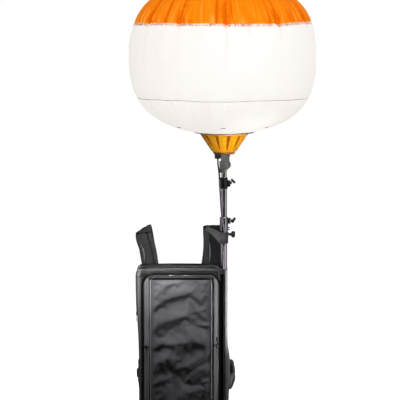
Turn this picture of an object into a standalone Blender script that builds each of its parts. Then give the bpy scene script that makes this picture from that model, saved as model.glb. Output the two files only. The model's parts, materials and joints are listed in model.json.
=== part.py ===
"""Backpack advertising balloon: a lit fabric balloon and its blower on a telescopic mast that stands in a backpack.

Metres, +Z up. The origin is on the mast's axis at floor level. The front pocket faces -Y and the harness faces +Y.
"""
import math

import bmesh
import bpy
from mathutils import Matrix, Vector

# Balloon: a turned superellipse
BALLOON_RADIUS = 0.400
BALLOON_UPPER_HEIGHT = 0.327
BALLOON_LOWER_HEIGHT = 0.323
BALLOON_CENTRE_Z = 1.5415
BALLOON_POWER = 2.54
FABRIC_WALL = 0.010
LOWER_SEAM_Z = 1.372
UPPER_SEAM_Z = 1.688
HEM_RADIUS = 0.1045
BALLOON_SIDES = 40

# Blower head
FLANGE_RADIUS = 0.128
FLANGE_HOLE_RADIUS = 0.092
FLANGE_HUB_RADIUS = 0.020
FLANGE_LOW_Z = 1.2205
FLANGE_HIGH_Z = 1.2225
CONE_TOP_RADIUS = 0.1035
CONE_FOOT_RADIUS = 0.0565
CONE_FOOT_Z = 1.1390
CONE_WALL = 0.003
CONE_FLOOR_HOLE = 0.030
SLOT_COUNT = 12
SLOT_TOP_WIDTH = 0.0165
SLOT_FOOT_WIDTH = 0.0045
SLOT_LOW_Z = 1.1497
SLOT_HIGH_Z = 1.2125
BASE_RADIUS = 0.047
BASE_LOW_Z = 1.1290
SHROUD_FOOT_RADIUS = 0.0490
SHROUD_TOP_RADIUS = 0.0975
SHROUD_TOP_Z = 1.2150
SHROUD_WALL = 0.0015
PLUG_LOW_Z = 1.1133
PLUG_HIGH_Z = 1.1380
MOTOR_RADIUS = 0.026
MOTOR_TOP_Z = 1.184
SHAFT_RADIUS = 0.004
SHAFT_TOP_Z = 1.198
ROTOR_RADIUS = 0.072
ROTOR_HUB_RADIUS = 0.022
ROTOR_LOW_Z = 1.189
ROTOR_HIGH_Z = 1.206
BLADE_COUNT = 7
LAMP_STEM_RADIUS = 0.008
LAMP_RADIUS = 0.036
LAMP_LOW_Z = 1.450
LAMP_HIGH_Z = 1.590

# Tilt knuckle, which turns about Y
PIVOT_X = 0.0106
PIVOT_Z = 1.083
EAR_RADIUS = 0.019
EAR_INNER_Y = 0.0075
EAR_OUTER_Y = 0.0125
TONGUE_RADIUS = 0.018
TONGUE_THICKNESS = 0.014
BOLT_RADIUS = 0.004
SOCKET_RADIUS = 0.0147
SOCKET_HIGH_Z = 1.0637
CHEEK_LEFT_X = -0.0195
CHEEK_RIGHT_X = 0.0035
CHEEK_LOW_Z = 1.0480
CHEEK_HALF_WIDTH = 0.0150

# Telescopic mast on the Z axis
LOWER_TUBE_RADIUS = 0.0140
MIDDLE_TUBE_RADIUS = 0.0130
TOP_TUBE_RADIUS = 0.0120
TUBE_WALL = 0.0007
LOWER_TUBE_LOW_Z = 0.0103
LOWER_TUBE_HIGH_Z = 0.8440
MIDDLE_TUBE_LOW_Z = 0.190
MIDDLE_TUBE_HIGH_Z = 1.0170
TOP_TUBE_LOW_Z = 0.240
TOP_TUBE_HIGH_Z = 1.0595
LOWER_CLAMP_LOW_Z = 0.7945
LOWER_CLAMP_HIGH_Z = 0.8546
UPPER_CLAMP_LOW_Z = 0.9787
UPPER_CLAMP_HIGH_Z = 1.0272
FOOT_RADIUS = 0.0163
FOOT_HIGH_Z = 0.036

# Backpack
BAG_LEFT_X = -0.380
BAG_RIGHT_X = -0.0168
BAG_FRONT_Y = -0.060
BAG_BACK_Y = 0.072
BAG_LOW_Z = 0.006
BAG_LID_Z = 0.6165
BAG_HIGH_Z = 0.640
BAG_WALL = 0.006
BAG_CORNER = 0.018
POCKET_FRONT_Y = -0.118
POCKET_LOW_Z = 0.016
POCKET_HIGH_Z = 0.612
POCKET_WALL = 0.005
PANEL_LEFT_X = -0.316
PANEL_RIGHT_X = -0.052
GUSSET_LEFT_X = -0.348
GUSSET_RIGHT_X = -0.0205
BACK_PAD_THICKNESS = 0.023
BACK_PAD_HIGH_Z = 0.630
STRAP_WIDTH = 0.073
STRAP_THICKNESS = 0.012
WEBBING_WIDTH = 0.025
WEBBING_THICKNESS = 0.0025
WING_MIDDLE_Z = 0.1345
WING_HEIGHT = 0.130
WING_THICKNESS = 0.012
CABLE_RADIUS = 0.0035

TOUCH = 0.0003
ROUND_SIDES = 32
SMALL_SIDES = 20


def material(name, colour, roughness, metallic=0.0):
    """A Principled material of one colour."""
    made = bpy.data.materials.new(name)
    made.use_nodes = True
    shader = made.node_tree.nodes["Principled BSDF"]
    shader.inputs["Base Color"].default_value = (*colour, 1.0)
    shader.inputs["Roughness"].default_value = roughness
    shader.inputs["Metallic"].default_value = metallic
    return made


def start_scene():
    """An empty scene with one collection for the parts and one for the cutters."""
    for thing in list(bpy.data.objects):
        bpy.data.objects.remove(thing, do_unlink=True)
    parts = bpy.data.collections.new("backpack_advertising_balloon")
    cutters = bpy.data.collections.new("cutters")
    bpy.context.scene.collection.children.link(parts)
    bpy.context.scene.collection.children.link(cutters)
    return parts, cutters


PARTS, CUTTERS = start_scene()

ORANGE_FABRIC = material("orange fabric", (0.90, 0.22, 0.01), 0.55)
WHITE_FABRIC = material("white fabric", (0.93, 0.92, 0.90), 0.60)
AMBER_PLASTIC = material("amber plastic", (0.80, 0.35, 0.03), 0.30)
BLACK_PLASTIC = material("black plastic", (0.02, 0.02, 0.02), 0.40)
GREY_CASTING = material("grey casting", (0.12, 0.12, 0.11), 0.45, 0.6)
BRIGHT_TUBE = material("bright tube", (0.62, 0.61, 0.62), 0.22, 1.0)
STEEL = material("steel", (0.55, 0.55, 0.55), 0.30, 1.0)
BAG_CLOTH = material("bag cloth", (0.055, 0.055, 0.058), 0.70)
BAG_TRIM = material("bag trim", (0.09, 0.09, 0.095), 0.60)
PADDING = material("padded cloth", (0.045, 0.045, 0.048), 0.80)
WEBBING = material("webbing", (0.03, 0.03, 0.032), 0.75)
RUBBER = material("rubber", (0.02, 0.02, 0.02), 0.85)
CABLE = material("cable sheath", (0.02, 0.02, 0.022), 0.50)
LED = material("lamp", (0.95, 0.93, 0.85), 0.30)
BATTERY = material("battery case", (0.10, 0.10, 0.11), 0.50)


def place(name, data, look):
    """A part made of this mesh or curve."""
    made = bpy.data.objects.new(name, data)
    PARTS.objects.link(made)
    data.materials.append(look)
    return made


def pivot(name, position):
    """An empty at a joint's axis."""
    made = bpy.data.objects.new(name, None)
    PARTS.objects.link(made)
    made.location = position
    bpy.context.view_layer.update()
    return made


def set_aside(tool):
    """A cutter, which is no part of the object."""
    for group in list(tool.users_collection):
        group.objects.unlink(tool)
    CUTTERS.objects.link(tool)
    tool.hide_render = True
    tool.display_type = "WIRE"
    return tool


def combine(part, tool, operation):
    """The part with the tool's shape added or cut away."""
    step = part.modifiers.new(operation.title(), "BOOLEAN")
    step.operation = operation
    step.solver = "EXACT"
    step.object = set_aside(tool)
    return part


def round_edges(part, width, segments=2, angle=math.radians(40)):
    """Rounded edges wherever faces meet at more than the angle."""
    step = part.modifiers.new("Round", "BEVEL")
    step.width = width
    step.segments = segments
    step.limit_method = "ANGLE"
    step.angle_limit = angle
    step.use_clamp_overlap = True
    return part


def block(name, low, high, look):
    """A box between two corners."""
    size = [b - a for a, b in zip(low, high)]
    middle = [(a + b) / 2 for a, b in zip(low, high)]
    mesh = bpy.data.meshes.new(name)
    shape = bmesh.new()
    bmesh.ops.create_cube(shape, size=1.0)
    bmesh.ops.scale(shape, vec=size, verts=shape.verts)
    shape.to_mesh(mesh)
    shape.free()
    made = place(name, mesh, look)
    made.location = middle
    return made


def cylinder(name, start, end, radius, look, sides=SMALL_SIDES):
    """A solid cylinder between two points."""
    start, end = Vector(start), Vector(end)
    mesh = bpy.data.meshes.new(name)
    shape = bmesh.new()
    length = (end - start).length
    bmesh.ops.create_cone(shape, cap_ends=True, segments=sides, radius1=radius, radius2=radius, depth=length)
    shape.to_mesh(mesh)
    shape.free()
    made = place(name, mesh, look)
    made.rotation_mode = "QUATERNION"
    made.rotation_quaternion = Vector((0, 0, 1)).rotation_difference(end - start)
    made.location = (start + end) / 2
    return made


def turned(name, profile, look, sides=ROUND_SIDES, ring=True):
    """A profile of (radius, z) turned about Z. It runs down its outer side; a ring's profile closes on itself."""
    mesh = bpy.data.meshes.new(name)
    shape = bmesh.new()
    line = [shape.verts.new((radius, 0, z)) for radius, z in profile]
    for a, b in zip(line, line[1:]):
        shape.edges.new((a, b))
    if ring:
        shape.edges.new((line[-1], line[0]))
    shape.to_mesh(mesh)
    shape.free()
    made = place(name, mesh, look)
    turn = made.modifiers.new("Turn", "SCREW")
    turn.axis = "Z"
    turn.steps = sides
    turn.render_steps = sides
    turn.use_merge_vertices = True
    turn.merge_threshold = 0.00001
    return made


def along_x(made, position):
    """Lays a turned part's axis along +X and sets it at a position."""
    made.rotation_euler = (0, math.radians(90), 0)
    made.location = position
    return made


def tube(name, radius, wall, low, high, look):
    """A straight open tube on the Z axis."""
    return turned(name, [(radius, high), (radius, low), (radius - wall, low), (radius - wall, high)], look)


def plate(name, outlines, thickness, look):
    """A flat sheet in its own XY plane. The first outline is its edge and the others are holes in it."""
    curve = bpy.data.curves.new(name, "CURVE")
    curve.dimensions = "2D"
    curve.fill_mode = "BOTH"
    curve.extrude = thickness / 2
    for outline in outlines:
        spline = curve.splines.new("POLY")
        spline.points.add(len(outline) - 1)
        for point, (x, y) in zip(spline.points, outline):
            point.co = (x, y, 0, 1)
        spline.use_cyclic_u = True
    return place(name, curve, look)


def as_mesh(part):
    """The curve as a mesh with welded caps, so that it can be cut or joined."""
    bpy.context.view_layer.update()
    name = part.name
    look = part.data.materials[0]
    matrix = part.matrix_world.copy()
    seen = part.evaluated_get(bpy.context.evaluated_depsgraph_get())
    mesh = bpy.data.meshes.new_from_object(seen)
    shape = bmesh.new()
    shape.from_mesh(mesh)
    bmesh.ops.remove_doubles(shape, verts=shape.verts, dist=0.00001)
    bmesh.ops.recalc_face_normals(shape, faces=shape.faces)
    shape.to_mesh(mesh)
    shape.free()
    mesh.materials.clear()
    bpy.data.objects.remove(part, do_unlink=True)
    made = place(name, mesh, look)
    made.matrix_world = matrix
    return made


def wire(name, points, radius, look, closed=False):
    """A round cord or piping along these points."""
    curve = bpy.data.curves.new(name, "CURVE")
    curve.dimensions = "3D"
    curve.bevel_depth = radius
    curve.bevel_resolution = 2
    curve.use_fill_caps = not closed
    spline = curve.splines.new("POLY")
    spline.points.add(len(points) - 1)
    for point, position in zip(spline.points, points):
        point.co = (*position, 1)
    spline.use_cyclic_u = closed
    return place(name, curve, look)


def smooth(route, steps):
    """Points on a smooth curve through the route's own points."""
    route = [Vector(p) for p in route]
    ends = [2 * route[0] - route[1], *route, 2 * route[-1] - route[-2]]
    points = []
    for p0, p1, p2, p3 in zip(ends, ends[1:], ends[2:], ends[3:]):
        for step in range(steps):
            t = step / steps
            points.append(
                0.5 * (2 * p1 + (p2 - p0) * t + (2 * p0 - 5 * p1 + 4 * p2 - p3) * t**2
                       + (3 * p1 - p0 - 3 * p2 + p3) * t**3))
    return [*points, route[-1]]


def ribbon(name, centres, acrosses, width, thickness, look):
    """A flat strap: at each centre it reaches half its width to both sides along its own across direction."""
    mesh = bpy.data.meshes.new(name)
    shape = bmesh.new()
    rows = []
    for centre, across in zip(centres, acrosses):
        reach = Vector(across).normalized() * width / 2
        rows.append([shape.verts.new(centre - reach), shape.verts.new(centre + reach)])
    for (a, b), (c, d) in zip(rows, rows[1:]):
        shape.faces.new((a, b, d, c))
    shape.to_mesh(mesh)
    shape.free()
    made = place(name, mesh, look)
    skin = made.modifiers.new("Thickness", "SOLIDIFY")
    skin.thickness = thickness
    skin.offset = 0
    skin.use_even_offset = True
    return made


def circle(x, y, radius_x, radius_y, sides):
    """An oval outline."""
    angles = [2 * math.pi * i / sides for i in range(sides)]
    return [(x + radius_x * math.cos(a), y + radius_y * math.sin(a)) for a in angles]


def rounded_rectangle(left, right, low, high, corner, steps=4):
    """A rectangle's outline with round corners."""
    middles = [(right - corner, high - corner), (left + corner, high - corner),
               (left + corner, low + corner), (right - corner, low + corner)]
    outline = []
    for quarter, (x, y) in enumerate(middles):
        for step in range(steps + 1):
            angle = math.pi / 2 * (quarter + step / steps)
            outline.append((x + corner * math.cos(angle), y + corner * math.sin(angle)))
    return outline


def half_height(side):
    """The balloon's height above its centre for a positive side, and below it for a negative one."""
    return BALLOON_UPPER_HEIGHT if side > 0 else BALLOON_LOWER_HEIGHT


def balloon_point(angle):
    """The balloon's outline at an angle from its equator, as (radius, z)."""
    power = 2 / BALLOON_POWER
    up = math.copysign(abs(math.sin(angle)) ** power, angle)
    return BALLOON_RADIUS * math.cos(angle) ** power, BALLOON_CENTRE_Z + half_height(angle) * up


def balloon_angle(z):
    """The angle at which balloon_point has this height."""
    rise = z - BALLOON_CENTRE_Z
    share = max(-1.0, min(1.0, rise / half_height(rise)))
    return math.copysign(math.asin(abs(share) ** (BALLOON_POWER / 2)), share)


def envelope_panel(name, low, high, rows, look):
    """One sewn ring of the balloon between two angles. It closes where it ends on the axis."""
    outer = [balloon_point(high + (low - high) * i / rows) for i in range(rows + 1)]
    shrink = 1 - FABRIC_WALL / BALLOON_RADIUS
    inner = []
    for radius, z in outer:
        rise = z - BALLOON_CENTRE_Z
        inner.append((radius * shrink, BALLOON_CENTRE_Z + rise * (1 - FABRIC_WALL / half_height(rise))))
    on_axis = outer[0][0] < 0.0001
    if on_axis:
        outer[0] = (0, outer[0][1])
        inner[0] = (0, inner[0][1])
    return turned(name, outer + inner[::-1], look, BALLOON_SIDES, ring=not on_axis)


def build_envelope():
    """The balloon in three sewn rings, from the hem on the flange to the top."""
    seam = TOUCH / (2 * BALLOON_UPPER_HEIGHT)
    hem = -math.acos((HEM_RADIUS / BALLOON_RADIUS) ** (BALLOON_POWER / 2))
    low, high = balloon_angle(LOWER_SEAM_Z), balloon_angle(UPPER_SEAM_Z)
    envelope_panel("envelope_lower_dome", hem, low - seam, 7, WHITE_FABRIC)
    envelope_panel("envelope_white_band", low + seam, high - seam, 7, WHITE_FABRIC)
    envelope_panel("envelope_orange_cap", high + seam, math.pi / 2, 8, ORANGE_FABRIC)


def build_lamp():
    """The lamp on its stem, inside the balloon."""
    turned("lamp_stem", [(0, LAMP_LOW_Z - TOUCH), (LAMP_STEM_RADIUS, LAMP_LOW_Z - TOUCH),
                         (LAMP_STEM_RADIUS, FLANGE_HIGH_Z + TOUCH), (0, FLANGE_HIGH_Z + TOUCH)],
           STEEL, SMALL_SIDES, ring=False)
    dome = [(LAMP_RADIUS * math.sin(a), LAMP_HIGH_Z - LAMP_RADIUS + LAMP_RADIUS * math.cos(a))
            for a in (math.pi / 2 * i / 4 for i in range(5))]
    turned("led_lamp", [(0, LAMP_HIGH_Z), *dome[1:], (LAMP_RADIUS, LAMP_LOW_Z), (0, LAMP_LOW_Z)],
           LED, SMALL_SIDES, ring=False)


def sector(inner, outer, start, end, steps=6):
    """The outline of a piece of a ring between two angles."""
    angles = [start + (end - start) * i / steps for i in range(steps + 1)]
    far = [(outer * math.cos(a), outer * math.sin(a)) for a in angles]
    near = [(inner * math.cos(a), inner * math.sin(a)) for a in reversed(angles)]
    return far + near


def build_flange():
    """The ring plate that the balloon's hem is clamped on, with four spokes to the lamp's hub."""
    spoke = math.radians(7)
    windows = [sector(FLANGE_HUB_RADIUS, FLANGE_HOLE_RADIUS, i * math.pi / 2 + spoke, (i + 1) * math.pi / 2 - spoke)
               for i in range(4)]
    made = plate("neck_flange", [circle(0, 0, FLANGE_RADIUS, FLANGE_RADIUS, BALLOON_SIDES), *windows],
                 FLANGE_HIGH_Z - FLANGE_LOW_Z, GREY_CASTING)
    made.location = (0, 0, (FLANGE_LOW_Z + FLANGE_HIGH_Z) / 2)


def slot_cutter():
    """A ring of upright wedges, narrow at the bottom, as one mesh."""
    mesh = bpy.data.meshes.new("slot_cutter")
    shape = bmesh.new()
    middle = (SLOT_LOW_Z + SLOT_HIGH_Z) / 2
    for i in range(SLOT_COUNT):
        made = bmesh.ops.create_cube(shape, size=1.0)["verts"]
        bmesh.ops.scale(shape, vec=(0.090, SLOT_TOP_WIDTH, SLOT_HIGH_Z - SLOT_LOW_Z), verts=made)
        for vert in made:
            if vert.co.z < 0:
                vert.co.y *= SLOT_FOOT_WIDTH / SLOT_TOP_WIDTH
        turn = Matrix.Rotation(2 * math.pi * (i + 0.35) / SLOT_COUNT, 4, "Z")
        bmesh.ops.transform(shape, matrix=turn @ Matrix.Translation((0.085, 0, middle)), verts=made)
    shape.to_mesh(mesh)
    shape.free()
    return place("slot_cutter", mesh, AMBER_PLASTIC)


def build_blower():
    """The slotted cone with the shroud inside it, its base and the motor."""
    top = FLANGE_LOW_Z - TOUCH
    corner_z = CONE_FOOT_Z + 0.006
    inner_foot = CONE_FOOT_RADIUS - CONE_WALL
    cone = turned("blower_cone", [
        (CONE_TOP_RADIUS, top),
        (CONE_TOP_RADIUS, top - 0.005),
        (CONE_FOOT_RADIUS, corner_z),
        (CONE_FOOT_RADIUS - 0.006, CONE_FOOT_Z),
        (CONE_FLOOR_HOLE, CONE_FOOT_Z),
        (CONE_FLOOR_HOLE, CONE_FOOT_Z + CONE_WALL),
        (inner_foot - 0.003, CONE_FOOT_Z + CONE_WALL),
        (inner_foot, corner_z + 0.001),
        (CONE_TOP_RADIUS - CONE_WALL, top - 0.005),
        (CONE_TOP_RADIUS - CONE_WALL, top)], AMBER_PLASTIC, 2 * ROUND_SIDES)
    combine(cone, slot_cutter(), "DIFFERENCE")
    seat = CONE_FOOT_Z + CONE_WALL + TOUCH
    shroud_foot = SHROUD_FOOT_RADIUS - SHROUD_WALL
    turned("inlet_shroud", [
        (SHROUD_TOP_RADIUS, SHROUD_TOP_Z), (SHROUD_FOOT_RADIUS, seat + 0.004), (SHROUD_FOOT_RADIUS, seat),
        (shroud_foot, seat), (shroud_foot, seat + 0.0045), (SHROUD_TOP_RADIUS - SHROUD_WALL, SHROUD_TOP_Z)],
        AMBER_PLASTIC)
    turned("blower_base", [
        (0, CONE_FOOT_Z - TOUCH), (BASE_RADIUS, CONE_FOOT_Z - TOUCH), (BASE_RADIUS, BASE_LOW_Z + 0.003),
        (BASE_RADIUS - 0.003, BASE_LOW_Z), (0, BASE_LOW_Z)], AMBER_PLASTIC, ROUND_SIDES, ring=False)
    turned("fan_motor", [
        (0, SHAFT_TOP_Z), (SHAFT_RADIUS, SHAFT_TOP_Z), (SHAFT_RADIUS, MOTOR_TOP_Z),
        (MOTOR_RADIUS, MOTOR_TOP_Z), (MOTOR_RADIUS, CONE_FOOT_Z), (0, CONE_FOOT_Z)],
        BLACK_PLASTIC, SMALL_SIDES, ring=False)


def build_rotor():
    """The fan wheel on the motor's shaft."""
    bore_radius = SHAFT_RADIUS + TOUCH
    bore_top = SHAFT_TOP_Z + 0.0005
    rotor = turned("fan_rotor", [
        (0, ROTOR_HIGH_Z), (ROTOR_HUB_RADIUS, ROTOR_HIGH_Z), (ROTOR_HUB_RADIUS, ROTOR_LOW_Z),
        (bore_radius, ROTOR_LOW_Z), (bore_radius, bore_top), (0, bore_top)],
        BLACK_PLASTIC, SMALL_SIDES, ring=False)
    mesh = bpy.data.meshes.new("blade_ring")
    shape = bmesh.new()
    reach = ROTOR_RADIUS - 0.014
    for i in range(BLADE_COUNT):
        made = bmesh.ops.create_cube(shape, size=1.0)["verts"]
        bmesh.ops.scale(shape, vec=(reach, 0.024, 0.0025), verts=made)
        pitch = Matrix.Translation((0.014 + reach / 2, 0, 0)) @ Matrix.Rotation(math.radians(32), 4, "X")
        bmesh.ops.transform(shape, matrix=Matrix.Rotation(2 * math.pi * i / BLADE_COUNT, 4, "Z") @ pitch, verts=made)
    shape.to_mesh(mesh)
    shape.free()
    blades = place("blade_ring", mesh, BLACK_PLASTIC)
    blades.location = (0, 0, (ROTOR_LOW_Z + ROTOR_HIGH_Z) / 2)
    combine(rotor, blades, "UNION")


def build_connector():
    """The cable's plug, on the front left of the blower's base."""
    body = block("cable_connector", (-0.0410, -0.0660, PLUG_LOW_Z), (-0.0140, -0.0456, PLUG_HIGH_Z), BLACK_PLASTIC)
    round_edges(body, 0.002, 1)


def arc(x, z, radius, start, end, steps):
    """Points on an arc about (x, z), in degrees from +X towards +Z."""
    angles = [math.radians(start + (end - start) * i / steps) for i in range(steps + 1)]
    return [(x + radius * math.cos(a), z + radius * math.sin(a)) for a in angles]


def upright(made, y):
    """Turns a flat sheet's own XY plane to the XZ plane, with its middle at this y."""
    made.rotation_euler = (math.radians(90), 0, 0)
    made.location = (0, y, 0)
    return made


def build_knuckle():
    """The fork on the mast's end, the tongue under the blower, and the bolt that the head tilts on."""
    hole = circle(PIVOT_X, PIVOT_Z, BOLT_RADIUS + TOUCH, BOLT_RADIUS + TOUCH, SMALL_SIDES)
    socket_low = TOP_TUBE_HIGH_Z + TOUCH
    ear = [*arc(PIVOT_X, PIVOT_Z, EAR_RADIUS, -35, 110, 8), (CHEEK_LEFT_X, 1.0960),
           (CHEEK_LEFT_X, CHEEK_LOW_Z + 0.006), (0.0125, socket_low)]
    socket = turned("tilt_fork", [(0, SOCKET_HIGH_Z), (SOCKET_RADIUS, SOCKET_HIGH_Z), (SOCKET_RADIUS, socket_low),
                                  (0, socket_low)], GREY_CASTING, ring=False)
    cheek = block("fork_cheek", (CHEEK_LEFT_X, -CHEEK_HALF_WIDTH, CHEEK_LOW_Z),
                  (CHEEK_RIGHT_X, CHEEK_HALF_WIDTH, SOCKET_HIGH_Z - 0.001), GREY_CASTING)
    combine(socket, round_edges(cheek, 0.002, 1), "UNION")
    ear_thickness = EAR_OUTER_Y - EAR_INNER_Y
    for side in (-1, 1):
        sheet = upright(plate(f"ear_{side}", [ear, hole], ear_thickness, GREY_CASTING),
                        side * (EAR_INNER_Y + ear_thickness / 2))
        combine(socket, as_mesh(sheet), "UNION")
    bore = cylinder("tube_bore", (0, 0, CHEEK_LOW_Z - 0.01), (0, 0, socket_low), TOP_TUBE_RADIUS + TOUCH,
                    GREY_CASTING, ROUND_SIDES)
    combine(socket, bore, "DIFFERENCE")
    foot_low = 1.1190
    tongue = [*arc(PIVOT_X, PIVOT_Z, TONGUE_RADIUS, -180, 0, 10), (0.0240, 1.1000), (0.0240, foot_low + 0.002),
              (-0.0130, foot_low + 0.002), (-0.0130, 1.1000)]
    sheet = upright(plate("tilt_tongue", [tongue, hole], TONGUE_THICKNESS, GREY_CASTING), 0)
    solid = as_mesh(sheet)
    foot = block("tongue_foot", (-0.0190, -0.0190, foot_low), (0.0260, 0.0190, BASE_LOW_Z - TOUCH), GREY_CASTING)
    combine(solid, foot, "UNION")
    head = EAR_OUTER_Y + TOUCH
    bolt = turned("tilt_bolt", [
        (0, head + 0.005), (0.0090, head + 0.005), (0.0090, head), (BOLT_RADIUS, head),
        (BOLT_RADIUS, -head), (0.0090, -head), (0.0090, -head - 0.005), (0, -head - 0.005)],
        STEEL, SMALL_SIDES, ring=False)
    bolt.rotation_euler = (math.radians(90), 0, 0)
    bolt.location = (PIVOT_X, 0, PIVOT_Z)


def capsule(name, start, end, radius, look):
    """A round bar with flat ends, as a mesh."""
    return as_mesh(wire(name, [start, end], radius, look))


def collar(name, low, high, outer, inner_low, inner_high, step_z, look):
    """A clamp collar that grips the outer tube below step_z and guides the inner one above it."""
    return turned(name, [(outer - 0.0015, high), (outer, high - 0.002), (outer, low + 0.002), (outer - 0.001, low),
                         (inner_low, low), (inner_low, step_z), (inner_high, step_z), (inner_high, high)],
                  look, 24)


def build_lower_mast():
    """The lower tube with its clamp, knobs and foot, which the backpack carries."""
    tube("mast_tube_lower", LOWER_TUBE_RADIUS, TUBE_WALL, LOWER_TUBE_LOW_Z, LOWER_TUBE_HIGH_Z, BRIGHT_TUBE)
    foot_inner = LOWER_TUBE_RADIUS + TOUCH
    foot_floor = LOWER_TUBE_LOW_Z - TOUCH
    turned("mast_foot", [
        (0, foot_floor), (foot_inner, foot_floor), (foot_inner, FOOT_HIGH_Z), (FOOT_RADIUS - 0.001, FOOT_HIGH_Z),
        (FOOT_RADIUS, 0.003), (FOOT_RADIUS - 0.003, 0), (0, 0)], RUBBER, 24, ring=False)
    clamp = collar("lower_clamp", LOWER_CLAMP_LOW_Z, LOWER_CLAMP_HIGH_Z, 0.0185, LOWER_TUBE_RADIUS + TOUCH,
                   MIDDLE_TUBE_RADIUS + TOUCH, LOWER_TUBE_HIGH_Z + TOUCH, BLACK_PLASTIC)
    ears = block("lower_clamp_ears", (0.0155, -0.010, 0.826), (0.0300, 0.010, 0.852), BLACK_PLASTIC)
    combine(clamp, round_edges(ears, 0.004), "UNION")
    combine(clamp, cylinder("stop_screw", (0.0150, 0, 0.8054), (0.0262, 0, 0.8054), 0.0062, BLACK_PLASTIC), "UNION")
    hub = cylinder("lower_clamp_knob", (0.0303, 0, 0.8394), (0.0375, 0, 0.8394), 0.0065, BLACK_PLASTIC)
    combine(hub, capsule("knob_bar", (0.0350, 0, 0.8310), (0.0480, 0, 0.8520), 0.0055, BLACK_PLASTIC), "UNION")
    bracket = turned("pole_bracket", [
        (0.0165, 0.7905), (0.0165, 0.7700), (LOWER_TUBE_RADIUS + TOUCH, 0.7700),
        (LOWER_TUBE_RADIUS + TOUCH, 0.7905)], GREY_CASTING, 24)
    combine(bracket, cylinder("spigot", (0.0152, 0, 0.7803), (0.0302, 0, 0.7803), 0.0062, GREY_CASTING), "UNION")
    along_x(turned("pole_bracket_knob", [
        (0, 0.0180), (0.0095, 0.0180), (0.0145, 0.0130), (0.0145, 0.0060), (0.0080, 0), (0, 0)],
        BLACK_PLASTIC, SMALL_SIDES, ring=False), (0.0305, 0, 0.7803))


def build_middle_mast():
    """The middle tube with its clamp and wing knob."""
    tube("mast_tube_middle", MIDDLE_TUBE_RADIUS, TUBE_WALL, MIDDLE_TUBE_LOW_Z, MIDDLE_TUBE_HIGH_Z, BRIGHT_TUBE)
    clamp = collar("upper_clamp", UPPER_CLAMP_LOW_Z, UPPER_CLAMP_HIGH_Z, 0.0165, MIDDLE_TUBE_RADIUS + TOUCH,
                   TOP_TUBE_RADIUS + TOUCH, MIDDLE_TUBE_HIGH_Z + TOUCH, BLACK_PLASTIC)
    ears = block("upper_clamp_ears", (0.0135, -0.009, 0.9870), (0.0280, 0.009, 1.0150), BLACK_PLASTIC)
    combine(clamp, round_edges(ears, 0.004), "UNION")
    hub = cylinder("upper_clamp_knob", (0.0283, 0, 1.0040), (0.0340, 0, 1.0040), 0.0060, BLACK_PLASTIC)
    combine(hub, capsule("wing_bar", (0.0310, 0, 1.0200), (0.0470, 0, 1.0030), 0.0050, BLACK_PLASTIC), "UNION")


def build_top_mast():
    """The top tube, which carries the fork."""
    tube("mast_tube_top", TOP_TUBE_RADIUS, TUBE_WALL, TOP_TUBE_LOW_Z, TOP_TUBE_HIGH_Z, BRIGHT_TUBE)


def build_bag():
    """The main compartment as an open tub, its zipped top panel, its base and the battery inside."""
    tub = block("bag_body", (BAG_LEFT_X, BAG_FRONT_Y, BAG_LOW_Z), (BAG_RIGHT_X, BAG_BACK_Y, BAG_LID_Z - TOUCH),
                BAG_CLOTH)
    edges = tub.modifiers.new("Upright edges", "BEVEL")
    edges.width = BAG_CORNER
    edges.segments = 3
    edges.limit_method = "WEIGHT"
    weights = tub.data.attributes.new("bevel_weight_edge", "FLOAT", "EDGE")
    for edge, weight in zip(tub.data.edges, weights.data):
        a, b = (tub.data.vertices[i].co for i in edge.vertices)
        weight.value = 1.0 if abs(a.z - b.z) > 0.1 else 0.0
    hollow = block("bag_hollow", (BAG_LEFT_X + BAG_WALL, BAG_FRONT_Y + BAG_WALL, BAG_LOW_Z + BAG_WALL),
                   (BAG_RIGHT_X - BAG_WALL, BAG_BACK_Y - BAG_WALL, BAG_HIGH_Z + 0.05), BAG_CLOTH)
    round_edges(hollow, BAG_CORNER - BAG_WALL, 3)
    combine(tub, hollow, "DIFFERENCE")
    lid = block("bag_top_panel", (BAG_LEFT_X, BAG_FRONT_Y, BAG_LID_Z), (BAG_RIGHT_X, BAG_BACK_Y, BAG_HIGH_Z),
                BAG_CLOTH)
    round_edges(lid, BAG_CORNER, 3)
    block("bag_base", (BAG_LEFT_X + 0.004, BAG_FRONT_Y + 0.004, 0),
          (BAG_RIGHT_X - 0.004, BAG_BACK_Y - 0.004, BAG_LOW_Z - TOUCH), RUBBER)
    floor = BAG_LOW_Z + BAG_WALL + TOUCH
    battery = block("battery_block", (-0.300, -0.040, floor), (-0.100, 0.050, floor + 0.150), BATTERY)
    round_edges(battery, 0.004, 1)


def pocket_shell(name, inset, front_y, back_y, look):
    """The front pocket's tapered block, smaller all round by the inset."""
    made = block(name, (GUSSET_LEFT_X + inset, front_y, POCKET_LOW_Z + inset),
                 (GUSSET_RIGHT_X - inset, back_y, POCKET_HIGH_Z - inset), look)
    middle = made.location
    for vert in made.data.vertices:
        if vert.co.y < 0:
            edge = PANEL_LEFT_X + inset if vert.co.x < 0 else PANEL_RIGHT_X - inset
            vert.co.x = edge - middle.x
            if vert.co.z > 0:
                vert.co.z -= 0.004
    return made


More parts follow.
